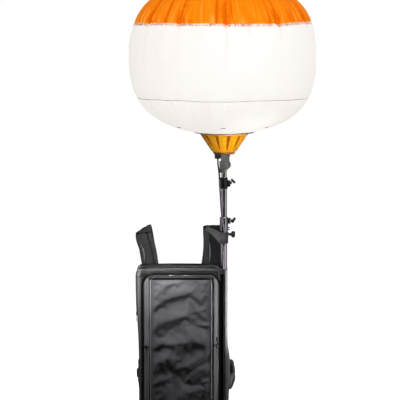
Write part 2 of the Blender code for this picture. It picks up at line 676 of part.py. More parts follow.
def build_pocket():
    """The front pocket, open only towards the bag that it is sewn to, with the piping round its front panel."""
    back = BAG_FRONT_Y - TOUCH
    rounding = 0.006
    pocket = pocket_shell("front_pocket", 0, POCKET_FRONT_Y, back + rounding + TOUCH, BAG_CLOTH)
    round_edges(pocket, rounding, 2)
    flush = block("pocket_back_trim", (BAG_LEFT_X, back, -0.1), (BAG_RIGHT_X, back + 0.03, 0.8), BAG_CLOTH)
    combine(pocket, flush, "DIFFERENCE")
    hollow = pocket_shell("pocket_hollow", POCKET_WALL, POCKET_FRONT_Y + POCKET_WALL, back + 0.01, BAG_CLOTH)
    combine(pocket, hollow, "DIFFERENCE")
    piping_radius = 0.0022
    loop = rounded_rectangle(PANEL_LEFT_X + 0.008, PANEL_RIGHT_X - 0.008, POCKET_LOW_Z + 0.008,
                             POCKET_HIGH_Z - 0.012, 0.014)
    front = POCKET_FRONT_Y - TOUCH - piping_radius
    wire("pocket_piping", [(x, front, z) for x, z in loop], piping_radius, BAG_TRIM, closed=True)


def build_harness():
    """The padded back, the two shoulder straps with their webbing and buckles, and the two hip wings."""
    pad_front = BAG_BACK_Y + TOUCH
    pad_back = pad_front + BACK_PAD_THICKNESS
    pad = block("back_pad", (BAG_LEFT_X + 0.012, pad_front, 0.012), (BAG_RIGHT_X - 0.004, pad_back, BACK_PAD_HIGH_Z),
                PADDING)
    round_edges(pad, 0.006, 2)
    seat = (pad_front + pad_back) / 2
    foot = BACK_PAD_HIGH_Z + TOUCH
    routes = {
        "left": [(-0.3205, seat, foot), (-0.3310, 0.0790, 0.700), (-0.3480, 0.0800, 0.756), (-0.3490, 0.1050, 0.788),
                 (-0.3470, 0.1360, 0.768), (-0.3350, 0.1560, 0.690), (-0.3180, 0.1640, 0.580),
                 (-0.3030, 0.1580, 0.450), (-0.2950, 0.1380, 0.340)],
        "right": [(-0.0555, seat, foot), (-0.0550, 0.0790, 0.700), (-0.0550, 0.0800, 0.762), (-0.0540, 0.1050, 0.799),
                  (-0.0545, 0.1360, 0.775), (-0.0600, 0.1560, 0.690), (-0.0740, 0.1640, 0.580),
                  (-0.0880, 0.1580, 0.450), (-0.0960, 0.1380, 0.340)],
    }
    for side, route in routes.items():
        points = smooth(route, 3)
        most = 0.45 if side == "left" else 0.05
        acrosses = [(1, 0, most * max(0.0, 1 - abs(point.z - 0.785) / 0.08)) for point in points]
        strap = ribbon(f"shoulder_strap_{side}", points, acrosses, STRAP_WIDTH, STRAP_THICKNESS, PADDING)
        round_edges(strap, 0.003, 1)
        end = points[-1]
        buckle = block(f"strap_buckle_{side}", (end.x - 0.017, end.y - 0.004, 0.308),
                       (end.x + 0.017, end.y + 0.004, 0.336), BLACK_PLASTIC)
        round_edges(buckle, 0.002, 1)
        inward = 1 if side == "left" else -1
        low_y = pad_back + TOUCH + WEBBING_THICKNESS / 2
        tail = smooth([(end.x, end.y - 0.001, 0.3077), (end.x - 0.005 * inward, end.y - 0.006, 0.220),
                       (end.x - 0.010 * inward, low_y + 0.012, 0.110), (end.x - 0.012 * inward, low_y + 0.001, 0.060),
                       (end.x - 0.012 * inward, low_y, 0.030)], 3)
        ribbon(f"strap_webbing_{side}", tail, [(1, 0, 0)] * len(tail), WEBBING_WIDTH, WEBBING_THICKNESS, WEBBING)
    wing_start = pad_back + TOUCH + WING_THICKNESS / 2
    build_hip_wing("left", [(-0.340, wing_start), (-0.368, 0.108), (-0.381, 0.135), (-0.378, 0.175),
                            (-0.350, 0.205)])
    build_hip_wing("right", [(-0.062, wing_start), (-0.020, 0.108), (0.026, 0.112), (0.040, 0.135), (0.034, 0.175),
                             (0.002, 0.205)])


def build_hip_wing(side, plan):
    """A padded wing that is sewn to the back pad and curls back round, with its webbing and half of the buckle."""
    points = smooth([(x, y, WING_MIDDLE_Z) for x, y in plan], 4)
    wing = ribbon(f"hip_belt_{side}", points, [(0, 0, 1)] * len(points), WING_HEIGHT, WING_THICKNESS, PADDING)
    round_edges(wing, 0.003, 1)
    end = points[-1]
    along = (points[-1] - points[-2]).normalized()
    start = end + along * (TOUCH + 0.0002)
    stretch = [start, start + along * 0.020, start + along * 0.040]
    ribbon(f"hip_webbing_{side}", stretch, [(0, 0, 1)] * 3, 0.040, WEBBING_THICKNESS, WEBBING)
    clip_start = stretch[-1] + along * (TOUCH + 0.0002)
    clip = ribbon(f"hip_buckle_{side}", [clip_start, clip_start + along * 0.045], [(0, 0, 1)] * 2, 0.050, 0.010,
                  BLACK_PLASTIC)
    round_edges(clip, 0.002, 1)


def build_pole_holders():
    """The fabric tunnel round the lower tube, and the strap that ties the pole to the right shoulder strap."""
    sleeve_high, sleeve_low = 0.634, FOOT_HIGH_Z + 0.001
    inner = circle(0, -0.0022, LOWER_TUBE_RADIUS + 0.0006, LOWER_TUBE_RADIUS + 0.0062, 24)
    outer = circle(0, -0.0022, 0.0164, LOWER_TUBE_RADIUS + 0.0082, 24)
    sleeve = plate("mast_sleeve", [outer, inner], sleeve_high - sleeve_low, BAG_CLOTH)
    sleeve.location = (0, 0, (sleeve_high + sleeve_low) / 2)
    low, high = 0.7350, 0.7690
    inner = circle(-0.0015, -0.0055, 0.0190, 0.0200, 24)
    outer = circle(-0.0015, -0.0055, 0.0210, 0.0220, 24)
    loop = plate("pole_strap", [outer, inner], high - low, WEBBING)
    loop.location = (0, 0, (low + high) / 2)
    loop = as_mesh(loop)
    route = smooth([(-0.0200, 0.0060, 0.7520), (-0.0330, 0.0330, 0.7550), (-0.0470, 0.0560, 0.7560),
                    (-0.0530, 0.0713, 0.7560)], 3)
    tail = ribbon("pole_strap_tail", route, [(0, 0, 1)] * len(route), 0.030, WEBBING_THICKNESS, WEBBING)
    combine(loop, tail, "UNION")


def build_cable():
    """The power cable in three runs: one for each part of the mast that it hangs beside."""
    front = -(LOWER_TUBE_RADIUS + CABLE_RADIUS + TOUCH)
    route = [(-0.0275, -0.0558, PLUG_LOW_Z - TOUCH), (-0.0275, -0.0550, 1.0877), (-0.0251, -0.0470, 1.0635),
             (-0.0225, -0.0380, 1.0440), (-0.0208, -0.0310, 1.0225), (-0.0181, -0.0270, 0.9813),
             (-0.0150, -0.0255, 0.9423), (-0.0132, -0.0250, 0.9077), (-0.0100, -0.0248, 0.8729),
             (-0.0048, -0.0247, 0.8337), (0.0014, -0.0240, 0.8000), (0.0030, -0.0204, 0.7700),
             (0.0024, front, 0.7330), (0.0004, front, 0.6760), (0.0, front, 0.6320), (0.0, front, 0.5900)]
    points = smooth(route, 4)
    runs = {"power_cable_top": (1.0225, 2.0), "power_cable_middle": (0.9077, 1.0225),
            "power_cable_lower": (-1.0, 0.9077)}
    for name, (low, high) in runs.items():
        run = [p.copy() for p in points if low - 0.0001 <= p.z <= high + 0.0001]
        if high < 2:
            run[0] -= (run[0] - run[1]).normalized() * TOUCH
        wire(name, run, CABLE_RADIUS, CABLE)


def carry(parent, names):
    """Parents the named parts to an empty and keeps them where they are."""
    for name in names:
        part = bpy.data.objects[name]
        part.parent = parent
        part.matrix_parent_inverse = parent.matrix_world.inverted()


def main():
    """Builds every part and hangs the moving ones on their joints' empties."""
    build_envelope()
    build_lamp()
    build_flange()
    build_blower()
    build_rotor()
    build_connector()
    build_knuckle()
    build_lower_mast()
    build_middle_mast()
    build_top_mast()
    build_bag()
    build_pocket()
    build_harness()
    build_pole_holders()
    build_cable()
    carry(pivot("middle_mast_slide", (0, 0, LOWER_CLAMP_HIGH_Z)),
          ["mast_tube_middle", "upper_clamp", "upper_clamp_knob", "power_cable_middle"])
    carry(pivot("top_mast_slide", (0, 0, UPPER_CLAMP_HIGH_Z)), ["mast_tube_top", "tilt_fork", "tilt_bolt"])
    carry(pivot("head_tilt_axis", (PIVOT_X, 0, PIVOT_Z)),
          ["tilt_tongue", "blower_base", "blower_cone", "inlet_shroud", "fan_motor", "cable_connector",
           "power_cable_top", "neck_flange", "lamp_stem", "led_lamp", "envelope_lower_dome", "envelope_white_band",
           "envelope_orange_cap"])
    carry(pivot("fan_axis", (0, 0, ROTOR_LOW_Z)), ["fan_rotor"])


main()
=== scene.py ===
"""Looks of a backpack advertising balloon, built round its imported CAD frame.

Metres, +Z up. The front pocket faces -Y, the harness faces +Y, and the mast stands on the Z axis.
"""
import json
import math

import bpy
import numpy as np
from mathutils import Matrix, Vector

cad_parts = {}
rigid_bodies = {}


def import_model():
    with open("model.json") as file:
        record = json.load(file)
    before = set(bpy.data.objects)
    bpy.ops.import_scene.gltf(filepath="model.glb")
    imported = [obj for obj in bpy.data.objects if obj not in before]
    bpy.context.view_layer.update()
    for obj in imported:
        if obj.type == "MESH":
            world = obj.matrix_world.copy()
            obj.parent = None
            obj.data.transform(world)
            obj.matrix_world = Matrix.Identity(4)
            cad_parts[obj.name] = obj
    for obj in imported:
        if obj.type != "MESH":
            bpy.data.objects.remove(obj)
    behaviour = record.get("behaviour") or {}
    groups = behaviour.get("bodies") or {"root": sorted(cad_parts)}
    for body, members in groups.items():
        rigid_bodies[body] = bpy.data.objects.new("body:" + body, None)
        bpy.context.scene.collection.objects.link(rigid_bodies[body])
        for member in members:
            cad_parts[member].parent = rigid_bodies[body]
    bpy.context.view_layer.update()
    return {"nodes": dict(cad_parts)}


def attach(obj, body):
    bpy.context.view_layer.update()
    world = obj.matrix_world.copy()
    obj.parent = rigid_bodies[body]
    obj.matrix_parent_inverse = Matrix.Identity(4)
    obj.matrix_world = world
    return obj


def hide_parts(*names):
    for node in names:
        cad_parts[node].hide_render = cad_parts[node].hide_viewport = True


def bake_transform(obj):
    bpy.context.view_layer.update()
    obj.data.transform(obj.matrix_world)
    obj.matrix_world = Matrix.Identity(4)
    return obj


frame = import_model()
NODES = frame["nodes"]

# The same sizes as the CAD solids
BALLOON_RADIUS = 0.400
BALLOON_UPPER_HEIGHT = 0.327
BALLOON_LOWER_HEIGHT = 0.323
BALLOON_CENTRE_Z = 1.5415
BALLOON_POWER = 2.54
BALLOON_SHIFT_X = -0.0075
LOWER_SEAM_Z = 1.372
UPPER_SEAM_Z = 1.688
HEM_RADIUS = 0.1045
BAG_LEFT, BAG_RIGHT = -0.380, -0.0168
BAG_FRONT, BAG_BACK = -0.060, 0.072
BAG_LOW, BAG_HIGH = 0.006, 0.640
POCKET_FRONT = -0.118
POCKET_LOW, POCKET_HIGH = 0.016, 0.612
PANEL_LEFT, PANEL_RIGHT = -0.316, -0.052
GUSSET_LEFT, GUSSET_RIGHT = -0.348, -0.0205
PAD_FRONT, PAD_BACK = 0.0723, 0.0953
PAD_HIGH = 0.630
STRAP_WIDTH = 0.073
PAD_THICKNESS = 0.012
WEBBING_THICKNESS = 0.0025
WING_MIDDLE_Z = 0.1345
WING_HEIGHT = 0.130
CABLE_RADIUS = 0.0035
PLUG_LOW_Z = 1.1133
LOWER_TUBE_RADIUS = 0.0140
TOUCH = 0.0003

# Sizes of the dressing
BAG_CORNER = 0.030
LOW_CORNER = 0.018
TUNNEL_HALF_WIDTH, TUNNEL_HALF_DEPTH = 0.0162, 0.0220
HEM_TACK_Z = 1.2545
CLOTH_STEPS = 22
CORD_SIDE = (0.31, 0.62, 0.72)
GORE_SEAMS = np.radians([-84, -54.6, -28.8, 1.5, 36.6, 66, 96, 126, 156, 186, 216, 246])


# Geometry


def unit(vectors):
    return vectors / np.maximum(np.linalg.norm(vectors, axis=-1, keepdims=True), 1e-12)


def ease(share):
    share = np.clip(share, 0, 1)
    return share * share * (3 - 2 * share)


def ripple(points, wavelength, seed, count=18):
    """Smooth unevenness, mostly between -1 and 1: a sum of waves in fixed directions."""
    random = np.random.default_rng(seed)
    directions = unit(random.normal(size=(count, 3)))
    lengths = wavelength * random.uniform(0.7, 1.7, count)
    phases = random.uniform(0, 2 * math.pi, count)
    waves = np.sin(points @ (directions.T * 2 * math.pi / lengths) + phases)
    return waves.sum(axis=-1) / math.sqrt(count)


def smooth_route(route, steps):
    """Points on a smooth curve through the route's own points."""
    route = [np.array(p, float) for p in route]
    ends = [2 * route[0] - route[1], *route, 2 * route[-1] - route[-2]]
    points = []
    for p0, p1, p2, p3 in zip(ends, ends[1:], ends[2:], ends[3:]):
        for step in range(steps):
            t = step / steps
            points.append(0.5 * (2 * p1 + (p2 - p0) * t + (2 * p0 - 5 * p1 + 4 * p2 - p3) * t**2
                                 + (3 * p1 - p0 - 3 * p2 + p3) * t**3))
    return np.array([*points, route[-1]])


def resample(path, spacing, closed=False):
    """Points at even distances along a path."""
    path = np.asarray(path, float)
    if closed:
        path = np.vstack([path, path[:1]])
    along = np.concatenate([[0], np.cumsum(np.linalg.norm(np.diff(path, axis=0), axis=1))])
    count = max(2, round(along[-1] / spacing))
    places = np.linspace(0, along[-1], count, endpoint=not closed)
    return np.column_stack([np.interp(places, along, path[:, k]) for k in range(3)])


def frames(path, side, closed=False):
    """At each point of a path: the direction along it, the side direction and the one that faces out."""
    if closed:
        tangent = unit(np.roll(path, -1, axis=0) - np.roll(path, 1, axis=0))
    else:
        tangent = unit(np.gradient(path, axis=0))
    side = np.broadcast_to(np.asarray(side, float), path.shape)
    side = unit(side - (side * tangent).sum(-1, keepdims=True) * tangent)
    return tangent, side, np.cross(tangent, side)


def sweep(path, side, section, closed=False):
    """Rows of points: the section's (across, out) pairs set at each point of the path."""
    _, side, out = frames(path, side, closed)
    section = np.asarray(section, float)
    if section.ndim == 2:
        section = np.broadcast_to(section, (len(path), *section.shape))
    return path[:, None] + section[..., :1] * side[:, None] + section[..., 1:] * out[:, None]


def grid_faces(rows, columns, wrap_rows=False, wrap_columns=False):
    faces = []
    for r in range(rows if wrap_rows else rows - 1):
        for c in range(columns if wrap_columns else columns - 1):
            r2, c2 = (r + 1) % rows, (c + 1) % columns
            faces.append((r * columns + c, r * columns + c2, r2 * columns + c2, r2 * columns + c))
    return faces


def add_mesh(name, points, faces, look):
    mesh = bpy.data.meshes.new(name)
    mesh.from_pydata(np.asarray(points, float).reshape(-1, 3).tolist(), [], [list(f) for f in faces])
    mesh.materials.append(look)
    mesh.polygons.foreach_set("use_smooth", [True] * len(mesh.polygons))
    made = bpy.data.objects.new(name, mesh)
    bpy.context.scene.collection.objects.link(made)
    return made


def tube_mesh(name, rows, look, closed=False):
    """A closed tube through rows of section points, capped at both ends unless it closes on itself."""
    count, sides = rows.shape[:2]
    faces = grid_faces(count, sides, wrap_rows=closed, wrap_columns=True)
    if not closed:
        faces.append(tuple(range(sides - 1, -1, -1)))
        faces.append(tuple((count - 1) * sides + k for k in range(sides)))
    return add_mesh(name, rows, faces, look)


def ring(radius, sides=10, flat=1.0):
    """A round section; flat below 1 presses it."""
    angles = np.arange(sides) * 2 * math.pi / sides
    return np.column_stack([radius * np.cos(angles), flat * radius * np.sin(angles)])


def band_section(width, thickness, corner=0.0006):
    """A flat strap's section with small round corners."""
    w, t, c = width / 2, thickness / 2, min(corner, thickness / 2.01)
    half = [(-w + c, -t), (w - c, -t), (w, -t + c), (w, t - c)]
    return half + [(-across, -out) for across, out in half]


def pad_section(width, thickness, seams):
    """A padded strap's section: it thins to its edges and is drawn in at its seams."""
    across = np.linspace(-1, 1, 30) * width / 2
    height = np.maximum(thickness / 2 * (1 - np.abs(2 * across / width) ** 5) ** 0.45, 0.0012)
    for seam in seams:
        height -= 0.0022 * np.exp(-((across - seam) / 0.0028) ** 2)
    return np.vstack([np.column_stack([across, -height]), np.column_stack([across, height])[::-1]])


def blocks_along(name, path, side, spacing, size, lift, look, slot, bow=1.0):
    """A row of small blocks as one mesh, such as zip teeth or stitches. bow narrows their tops."""
    points = resample(path, spacing)
    if not isinstance(side, tuple):
        share, old = np.linspace(0, 1, len(points)), np.linspace(0, 1, len(side))
        side = np.column_stack([np.interp(share, old, side[:, k]) for k in range(3)])
    tangent, side, out = frames(points, side)
    length, width, height = (s / 2 for s in size)
    corners = []
    for c, shrink in ((-1, 1.0), (1, bow)):
        middle = points + (c * height + lift) * out
        for a, b in ((-1, -1), (1, -1), (1, 1), (-1, 1)):
            corners.append(middle + a * shrink * length * tangent + b * shrink * width * side)
    pattern = ((3, 2, 1, 0), (4, 5, 6, 7), (0, 1, 5, 4), (1, 2, 6, 5), (2, 3, 7, 6), (3, 0, 4, 7))
    faces = [[8 * k + i for i in face] for k in range(len(points)) for face in pattern]
    made = add_mesh(name, np.stack(corners, axis=1), faces, look)
    made.data.polygons.foreach_set("use_smooth", [False] * len(made.data.polygons))
    return own(made, "root", slot)


def axis_steps(low, high, radius, spacing):
    """Positions along a side of a soft box, close together where its ends are round."""
    bend = radius * (1 - np.tan(np.linspace(math.pi / 4, 0, 5)))
    count = max(2, round((high - low - 2 * radius) / spacing) + 1)
    middle = np.linspace(low + radius, high - radius, count)
    return np.concatenate([low + bend[:-1], middle, high - bend[:-1][::-1]])


def soft_box(low, high, radius, spacing):
    """Points, outward directions and faces of a closed box with round edges."""
    axes = [axis_steps(a, b, radius, spacing) for a, b in zip(low, high)]
    index, points, faces = {}, [], []
    for axis in range(3):
        u, v = (axis + 1) % 3, (axis + 2) % 3
        for end in (0, len(axes[axis]) - 1):
            for i in range(len(axes[u]) - 1):
                for j in range(len(axes[v]) - 1):
                    corners = [(i, j), (i + 1, j), (i + 1, j + 1), (i, j + 1)]
                    face = []
                    for a, b in corners if end else corners[::-1]:
                        key = [0, 0, 0]
                        key[axis], key[u], key[v] = end, a, b
                        key = tuple(key)
                        if key not in index:
                            index[key] = len(points)
                            points.append([axes[k][key[k]] for k in range(3)])
                        face.append(index[key])
                    faces.append(face)
    points = np.array(points)
    inner = np.clip(points, np.array(low) + radius, np.array(high) - radius)
    out = unit(points - inner)
    return inner + radius * out, out, faces


def rounded_loop(left, right, low, high, depth, corner):
    """A path round an upright rectangle with round corners, anticlockwise as seen from the front."""
    foot = LOW_CORNER
    middles = ((right - corner, high - corner, corner), (left + corner, high - corner, corner),
               (left + foot, low + foot, foot), (right - foot, low + foot, foot))
    outline = []
    for quarter, (x, z, radius) in enumerate(middles):
        for angle in np.radians(np.linspace(0, 90, 7) + 90 * quarter):
            outline.append((x + radius * math.cos(angle), depth, z + radius * math.sin(angle)))
    return resample(outline, 0.006, closed=True)


def fold(x, z, route, height, width):
    """A fold's height over a panel: gentle above its line and steep below it."""
    nearest = np.full(x.shape, 9.0)
    above = np.zeros(x.shape)
    for (x0, z0), (x1, z1) in zip(route, route[1:]):
        dx, dz = x1 - x0, z1 - z0
        t = np.clip(((x - x0) * dx + (z - z0) * dz) / (dx * dx + dz * dz), 0, 1)
        px, pz = x - x0 - t * dx, z - z0 - t * dz
        distance = np.hypot(px, pz)
        closer = distance < nearest
        nearest = np.where(closer, distance, nearest)
        above = np.where(closer, dx * pz - dz * px, above)
    reach = np.where(above > 0, width, 0.5 * width)
    return height * np.exp(-(nearest / reach) ** 2)


def read_points(mesh):
    points = np.empty(len(mesh.vertices) * 3)
    mesh.vertices.foreach_get("co", points)
    return points.reshape(-1, 3)


def write_points(mesh, points):
    mesh.vertices.foreach_set("co", points.ravel())
    mesh.update()


def settle(piece, free, cap):
    """Lets Blender's cloth wrinkle a piece. free is 0 at points that stay, and cap is the largest move."""
    start = read_points(piece.data)
    pins = piece.vertex_groups.new(name="held")
    for index, share in enumerate(free):
        if share < 0.999:
            pins.add([index], float(1 - share), "REPLACE")
    cloth = piece.modifiers.new("settle", "CLOTH")
    for name in ("tension_stiffness", "compression_stiffness", "shear_stiffness"):
        setattr(cloth.settings, name, 8.0)
    for name, value in (("quality", 5), ("mass", 0.3), ("bending_stiffness", 2.5), ("shrink_min", -0.010),
                        ("vertex_group_mass", "held"), ("use_pressure", True),
                        ("uniform_pressure_force", 0.3)):
        setattr(cloth.settings, name, value)
    cloth.settings.effector_weights.gravity = 0
    cloth.collision_settings.use_collision = False
    cloth.point_cache.frame_start = 1
    cloth.point_cache.frame_end = CLOTH_STEPS
    for step in range(1, CLOTH_STEPS + 1):
        bpy.context.scene.frame_set(step)
    change = read_points(piece.evaluated_get(bpy.context.evaluated_depsgraph_get()).data) - start
    length = np.linalg.norm(change, axis=1, keepdims=True)
    change *= cap * np.tanh(length / cap) / np.maximum(length, 1e-9)
    piece.modifiers.remove(cloth)
    piece.vertex_groups.remove(pins)
    write_points(piece.data, start + change)
    bpy.context.scene.frame_set(1)


def own(piece, body, slot, *nodes):
    """Sets the piece's body and the CAD nodes that it stands for. Its slot argument is not used."""
    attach(piece, body)
    if nodes:
        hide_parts(*nodes)
    return piece


def strip(name, path, side, section, look, slot, *nodes, closed=False, body="root"):
    """A strip, band or cord with one section along its path, fixed to its body."""
    rows = sweep(np.asarray(path, float), side, section, closed)
    return own(tube_mesh(name, rows, look, closed), body, slot, *nodes)


def piping(name, loop, radius, look, *nodes):
    """Corded piping round an upright loop."""
    strip(name, loop, (0, 1, 0), ring(radius, 8), look, "bag_trim", *nodes, closed=True)


# Materials


def grey(level, blue=None):
    return level, level, level if blue is None else blue


class Look:
    """A node material in short calls."""

    def __init__(self, name, roughness=0.6, metallic=0.0, **fixed):
        self.material = bpy.data.materials.new(name)
        self.material.use_nodes = True
        self.tree = self.material.node_tree
        self.shader = self.tree.nodes["Principled BSDF"]
        self.set(Roughness=roughness, Metallic=metallic, **fixed)

    def set(self, **values):
        for name, value in values.items():
            self.feed(self.shader.inputs[name.replace("_", " ")], value)

    def feed(self, socket, value):
        if isinstance(value, bpy.types.NodeSocket):
            self.tree.links.new(value, socket)
        elif socket.type == "RGBA" and len(value) == 3:
            socket.default_value = (*value, 1.0)
        else:
            socket.default_value = value

    def node(self, kind, inputs=(), **settings):
        made = self.tree.nodes.new("ShaderNode" + kind)
        for name, value in settings.items():
            setattr(made, name, value)
        for key, value in dict(inputs).items():
            self.feed(made.inputs[key], value)
        return made

    def place(self, stretch=(1, 1, 1)):
        coordinates = self.node("TexCoord").outputs["Object"]
        return self.node("Mapping", {"Vector": coordinates, "Scale": stretch}).outputs["Vector"]

    def noise(self, scale, detail, stretch=(1, 1, 1), rough=0.55):
        return self.node("TexNoise", {"Vector": self.place(stretch), "Scale": scale, "Detail": detail,
                                      "Roughness": rough}).outputs["Fac"]

    def axes(self):
        """The place on the object along X, Y and Z."""
        return self.node("SeparateXYZ", {0: self.place()}).outputs

    def wave(self, axis, period):
        """Sine bands with this period in metres."""
        return self.node("TexWave", {"Vector": self.place(), "Scale": math.pi / 10 / period},
                         bands_direction=axis).outputs["Fac"]

    def weave(self, period):
        """Threads that cross, on faces of any direction."""
        x, y, z = (self.wave(axis, period) for axis in "XYZ")
        return self.sum(self.sum(x, y), z)

    def sum(self, a, b):
        return self.node("Math", {0: a, 1: b}, operation="ADD").outputs[0]

    def times(self, a, b):
        return self.node("Math", {0: a, 1: b}, operation="MULTIPLY").outputs[0]

    def range(self, value, low, high, to_low=0.0, to_high=1.0):
        return self.node("MapRange", {"Value": value, "From Min": low, "From Max": high, "To Min": to_low,
                                      "To Max": to_high}).outputs["Result"]

    def mix(self, share, a, b):
        made = self.node("Mix", data_type="RGBA")
        sockets = {s.identifier: s for s in made.inputs}
        self.feed(sockets["Factor_Float"], share)
        self.feed(sockets["A_Color"], a)
        self.feed(sockets["B_Color"], b)
        return next(s for s in made.outputs if s.identifier == "Result_Color")

    def patches(self, scale, detail, a, b, low=0.35, high=0.7):
        """Two colours in soft patches."""
        return self.mix(self.range(self.noise(scale, detail), low, high), a, b)

    def vary(self, scale, detail, low, high):
        """Uneven roughness between two values."""
        self.set(Roughness=self.range(self.noise(scale, detail), 0.3, 0.7, low, high))

    def bump(self, height, distance, strength, under=None):
        made = self.node("Bump", {"Height": height, "Distance": distance, "Strength": strength})
        if under is not None:
            self.feed(made.inputs["Normal"], under)
        return made.outputs["Normal"]


def cloth_look(name, colour, light, weave, roughness=0.62, dents=0.0012, sheen=0.03, parts=()):
    """Coated woven cloth: fine weave, soft dents and rubbed lighter places.

    Each of the parts is an axis, where a second colour starts and is full, and that colour.
    """
    look = Look(name, roughness, Sheen_Weight=sheen, Sheen_Roughness=0.5, Specular_IOR_Level=0.12)
    rubbed = look.times(look.range(look.noise(9, 5), 0.35, 0.7), 0.6)
    flecks = look.times(look.range(look.noise(900, 2), 0.3, 0.75), 0.35)
    tone = look.mix(flecks, look.mix(rubbed, colour, light), light)
    for axis, start, full, other in parts:
        tone = look.mix(look.range(look.axes()[axis], start, full), tone, other)
    look.set(Base_Color=tone)
    look.vary(30, 3, roughness - 0.08, roughness + 0.08)
    look.set(Normal=look.bump(look.noise(26, 3), dents, 0.6, look.bump(look.weave(weave), 0.00012, 0.5)))
    return look.material


def sleeve_look():
    """The pole tunnel's grey cloth with painted light: near-black painted shade on the bag's side and behind
    its front part, a painted highlight towards the right and painted shade lower down.
    """
    look = Look("sleeve_cloth", 0.5, Sheen_Weight=0.04, Sheen_Roughness=0.5, Specular_IOR_Level=0.15)
    side, depth, height = look.axes()
    # outer is 0 on the bag's side, which is painted near black as shade; the black part narrows lower down.
    outer = look.range(look.sum(side, look.range(height, 0.16, 0.32, 0.004, 0.0)), -0.0018, 0.0004)
    tone = look.patches(30, 4, (0.115, 0.110, 0.120), (0.165, 0.160, 0.172))
    # Painted highlight: lighter towards the right.
    tone = look.mix(look.range(side, 0.004, 0.014), tone, (0.18, 0.175, 0.19))
    # Painted shade: darker below about 0.25 m.
    tone = look.mix(look.range(height, 0.33, 0.25), tone, (0.045, 0.044, 0.047))
    # Painted shade: dark behind the front part.
    tone = look.mix(look.range(depth, -0.0105, -0.0065), tone, grey(0.022, 0.023))
    look.set(Base_Color=look.mix(outer, grey(0.004), tone))
    look.set(Normal=look.bump(look.noise(40, 3), 0.0009, 0.6, look.bump(look.weave(0.0011), 0.00012, 0.5)))
    return look.material


def plastic_look(name, colour, worn, roughness=0.38, grain=0.00008):
    """Moulded plastic: fine grain, faint smears and lighter rubbed spots."""
    look = Look(name, roughness)
    rubbed = look.range(look.noise(160, 6, rough=0.7), 0.60, 0.78)
    look.set(Base_Color=look.mix(look.times(rubbed, 0.35), colour, worn))
    look.vary(45, 4, roughness - 0.04, roughness + 0.06)
    look.set(Normal=look.bump(look.noise(1400, 2), grain, 0.6))
    return look.material


def metal_look(name, colour, tint, roughness, streaks, stretch=(1, 1, 0.02)):
    """Metal with fine streaks along its length."""
    look = Look(name, roughness, 1.0)
    lines = look.noise(streaks, 3, stretch)
    look.set(Base_Color=look.patches(14, 4, colour, tint))
    look.set(Roughness=look.range(lines, 0.3, 0.7, roughness * 0.75, roughness * 1.3))
    look.set(Normal=look.bump(lines, 0.00004, 0.35))
    return look.material


def casting_look():
    look = Look("grey_casting", 0.5, 0.15)
    grain = look.noise(700, 3)
    look.set(Base_Color=look.patches(60, 5, (0.060, 0.059, 0.057), (0.098, 0.095, 0.091)))
    look.set(Roughness=look.range(grain, 0.3, 0.7, 0.42, 0.6))
    look.set(Normal=look.bump(grain, 0.0002, 0.7))
    return look.material


def balloon_look(name, deep, middle, light, body, strength):
    """Coated ripstop lit from inside, its glow painted as emission: fine threads, painted shade in the
    creases and painted highlight on the ridges.
    """
    look = Look(name, 0.55, Sheen_Weight=0.02, Specular_IOR_Level=0.04, Emission_Strength=strength)
    # The crease values, streaks and lines below drive painted shade in the folds and painted highlight on the
    # ridges.
    crease = look.node("Attribute", attribute_name="crease").outputs["Fac"]
    x, y, z = look.axes()
    turn = look.node("Math", {0: x, 1: y}, operation="ARCTAN2").outputs[0]
    route = look.node("CombineXYZ", {"X": look.times(turn, 26.0), "Y": look.times(z, 5.0)}).outputs[0]
    lines = look.node("TexNoise", {"Vector": route, "Scale": 1.0, "Detail": 5.0, "Roughness": 0.62})
    lines = look.range(lines.outputs["Fac"], 0.25, 0.75, -0.0016, 0.0016)
    streaks = look.range(look.noise(38, 4, (1, 1, 0.16)), 0.3, 0.7, -0.0006, 0.0006)
    height = look.sum(crease, look.sum(streaks, lines))
    # Painted shade: the glow darkens in the creases; painted highlight: it lightens on the ridges.
    glow = look.mix(look.range(height, -0.0030, 0.0), deep, middle)
    look.set(Emission_Color=look.mix(look.range(height, 0.0005, 0.0034), glow, light))
    # Painted shade: the base colour darkens in the creases too.
    look.set(Base_Color=look.mix(look.range(height, -0.0030, 0.0010), tuple(0.7 * c for c in body), body))
    threads = look.bump(look.weave(0.0042), 0.00006, 0.35)
    creases = look.bump(look.noise(70, 5, (1, 1, 0.25)), 0.0009, 0.5, threads)
    look.set(Normal=look.bump(look.noise(9, 4), 0.004, 0.5, creases))
    return look.material


def overlock_look():
    """Thread over the folded edge: short upright strokes, glowing with painted lamp light."""
    look = Look("overlock_thread", 0.7, Specular_IOR_Level=0.1, Emission_Strength=0.62)
    strokes = look.range(look.noise(130, 3, (1, 1, 0.08)), 0.42, 0.58)
    patches = look.range(look.noise(11, 3, (1, 1, 0.1)), 0.40, 0.62)
    thread = look.mix(patches, (0.50, 0.20, 0.13), (0.78, 0.50, 0.42))
    tone = look.mix(strokes, (0.88, 0.72, 0.66), thread)
    look.set(Base_Color=tone, Emission_Color=tone)
    look.set(Normal=look.bump(strokes, 0.0004, 0.7))
    return look.material


def amber_look(name, colour, deep, glow):
    """Moulded plastic that light passes a little way into, with a faint painted glow as emission."""
    look = Look(name, 0.30, Coat_Weight=0.15, Coat_Roughness=0.12, Specular_IOR_Level=0.25,
                Subsurface_Weight=0.25, Subsurface_Radius=(0.012, 0.004, 0.001), Subsurface_Scale=0.4,
                Emission_Strength=glow)
    look.set(Base_Color=look.patches(22, 4, colour, deep, 0.3, 0.75), Emission_Color=colour)
    look.vary(90, 4, 0.2, 0.36)
    look.set(Normal=look.bump(look.noise(320, 3), 0.00010, 0.5))
    return look.material


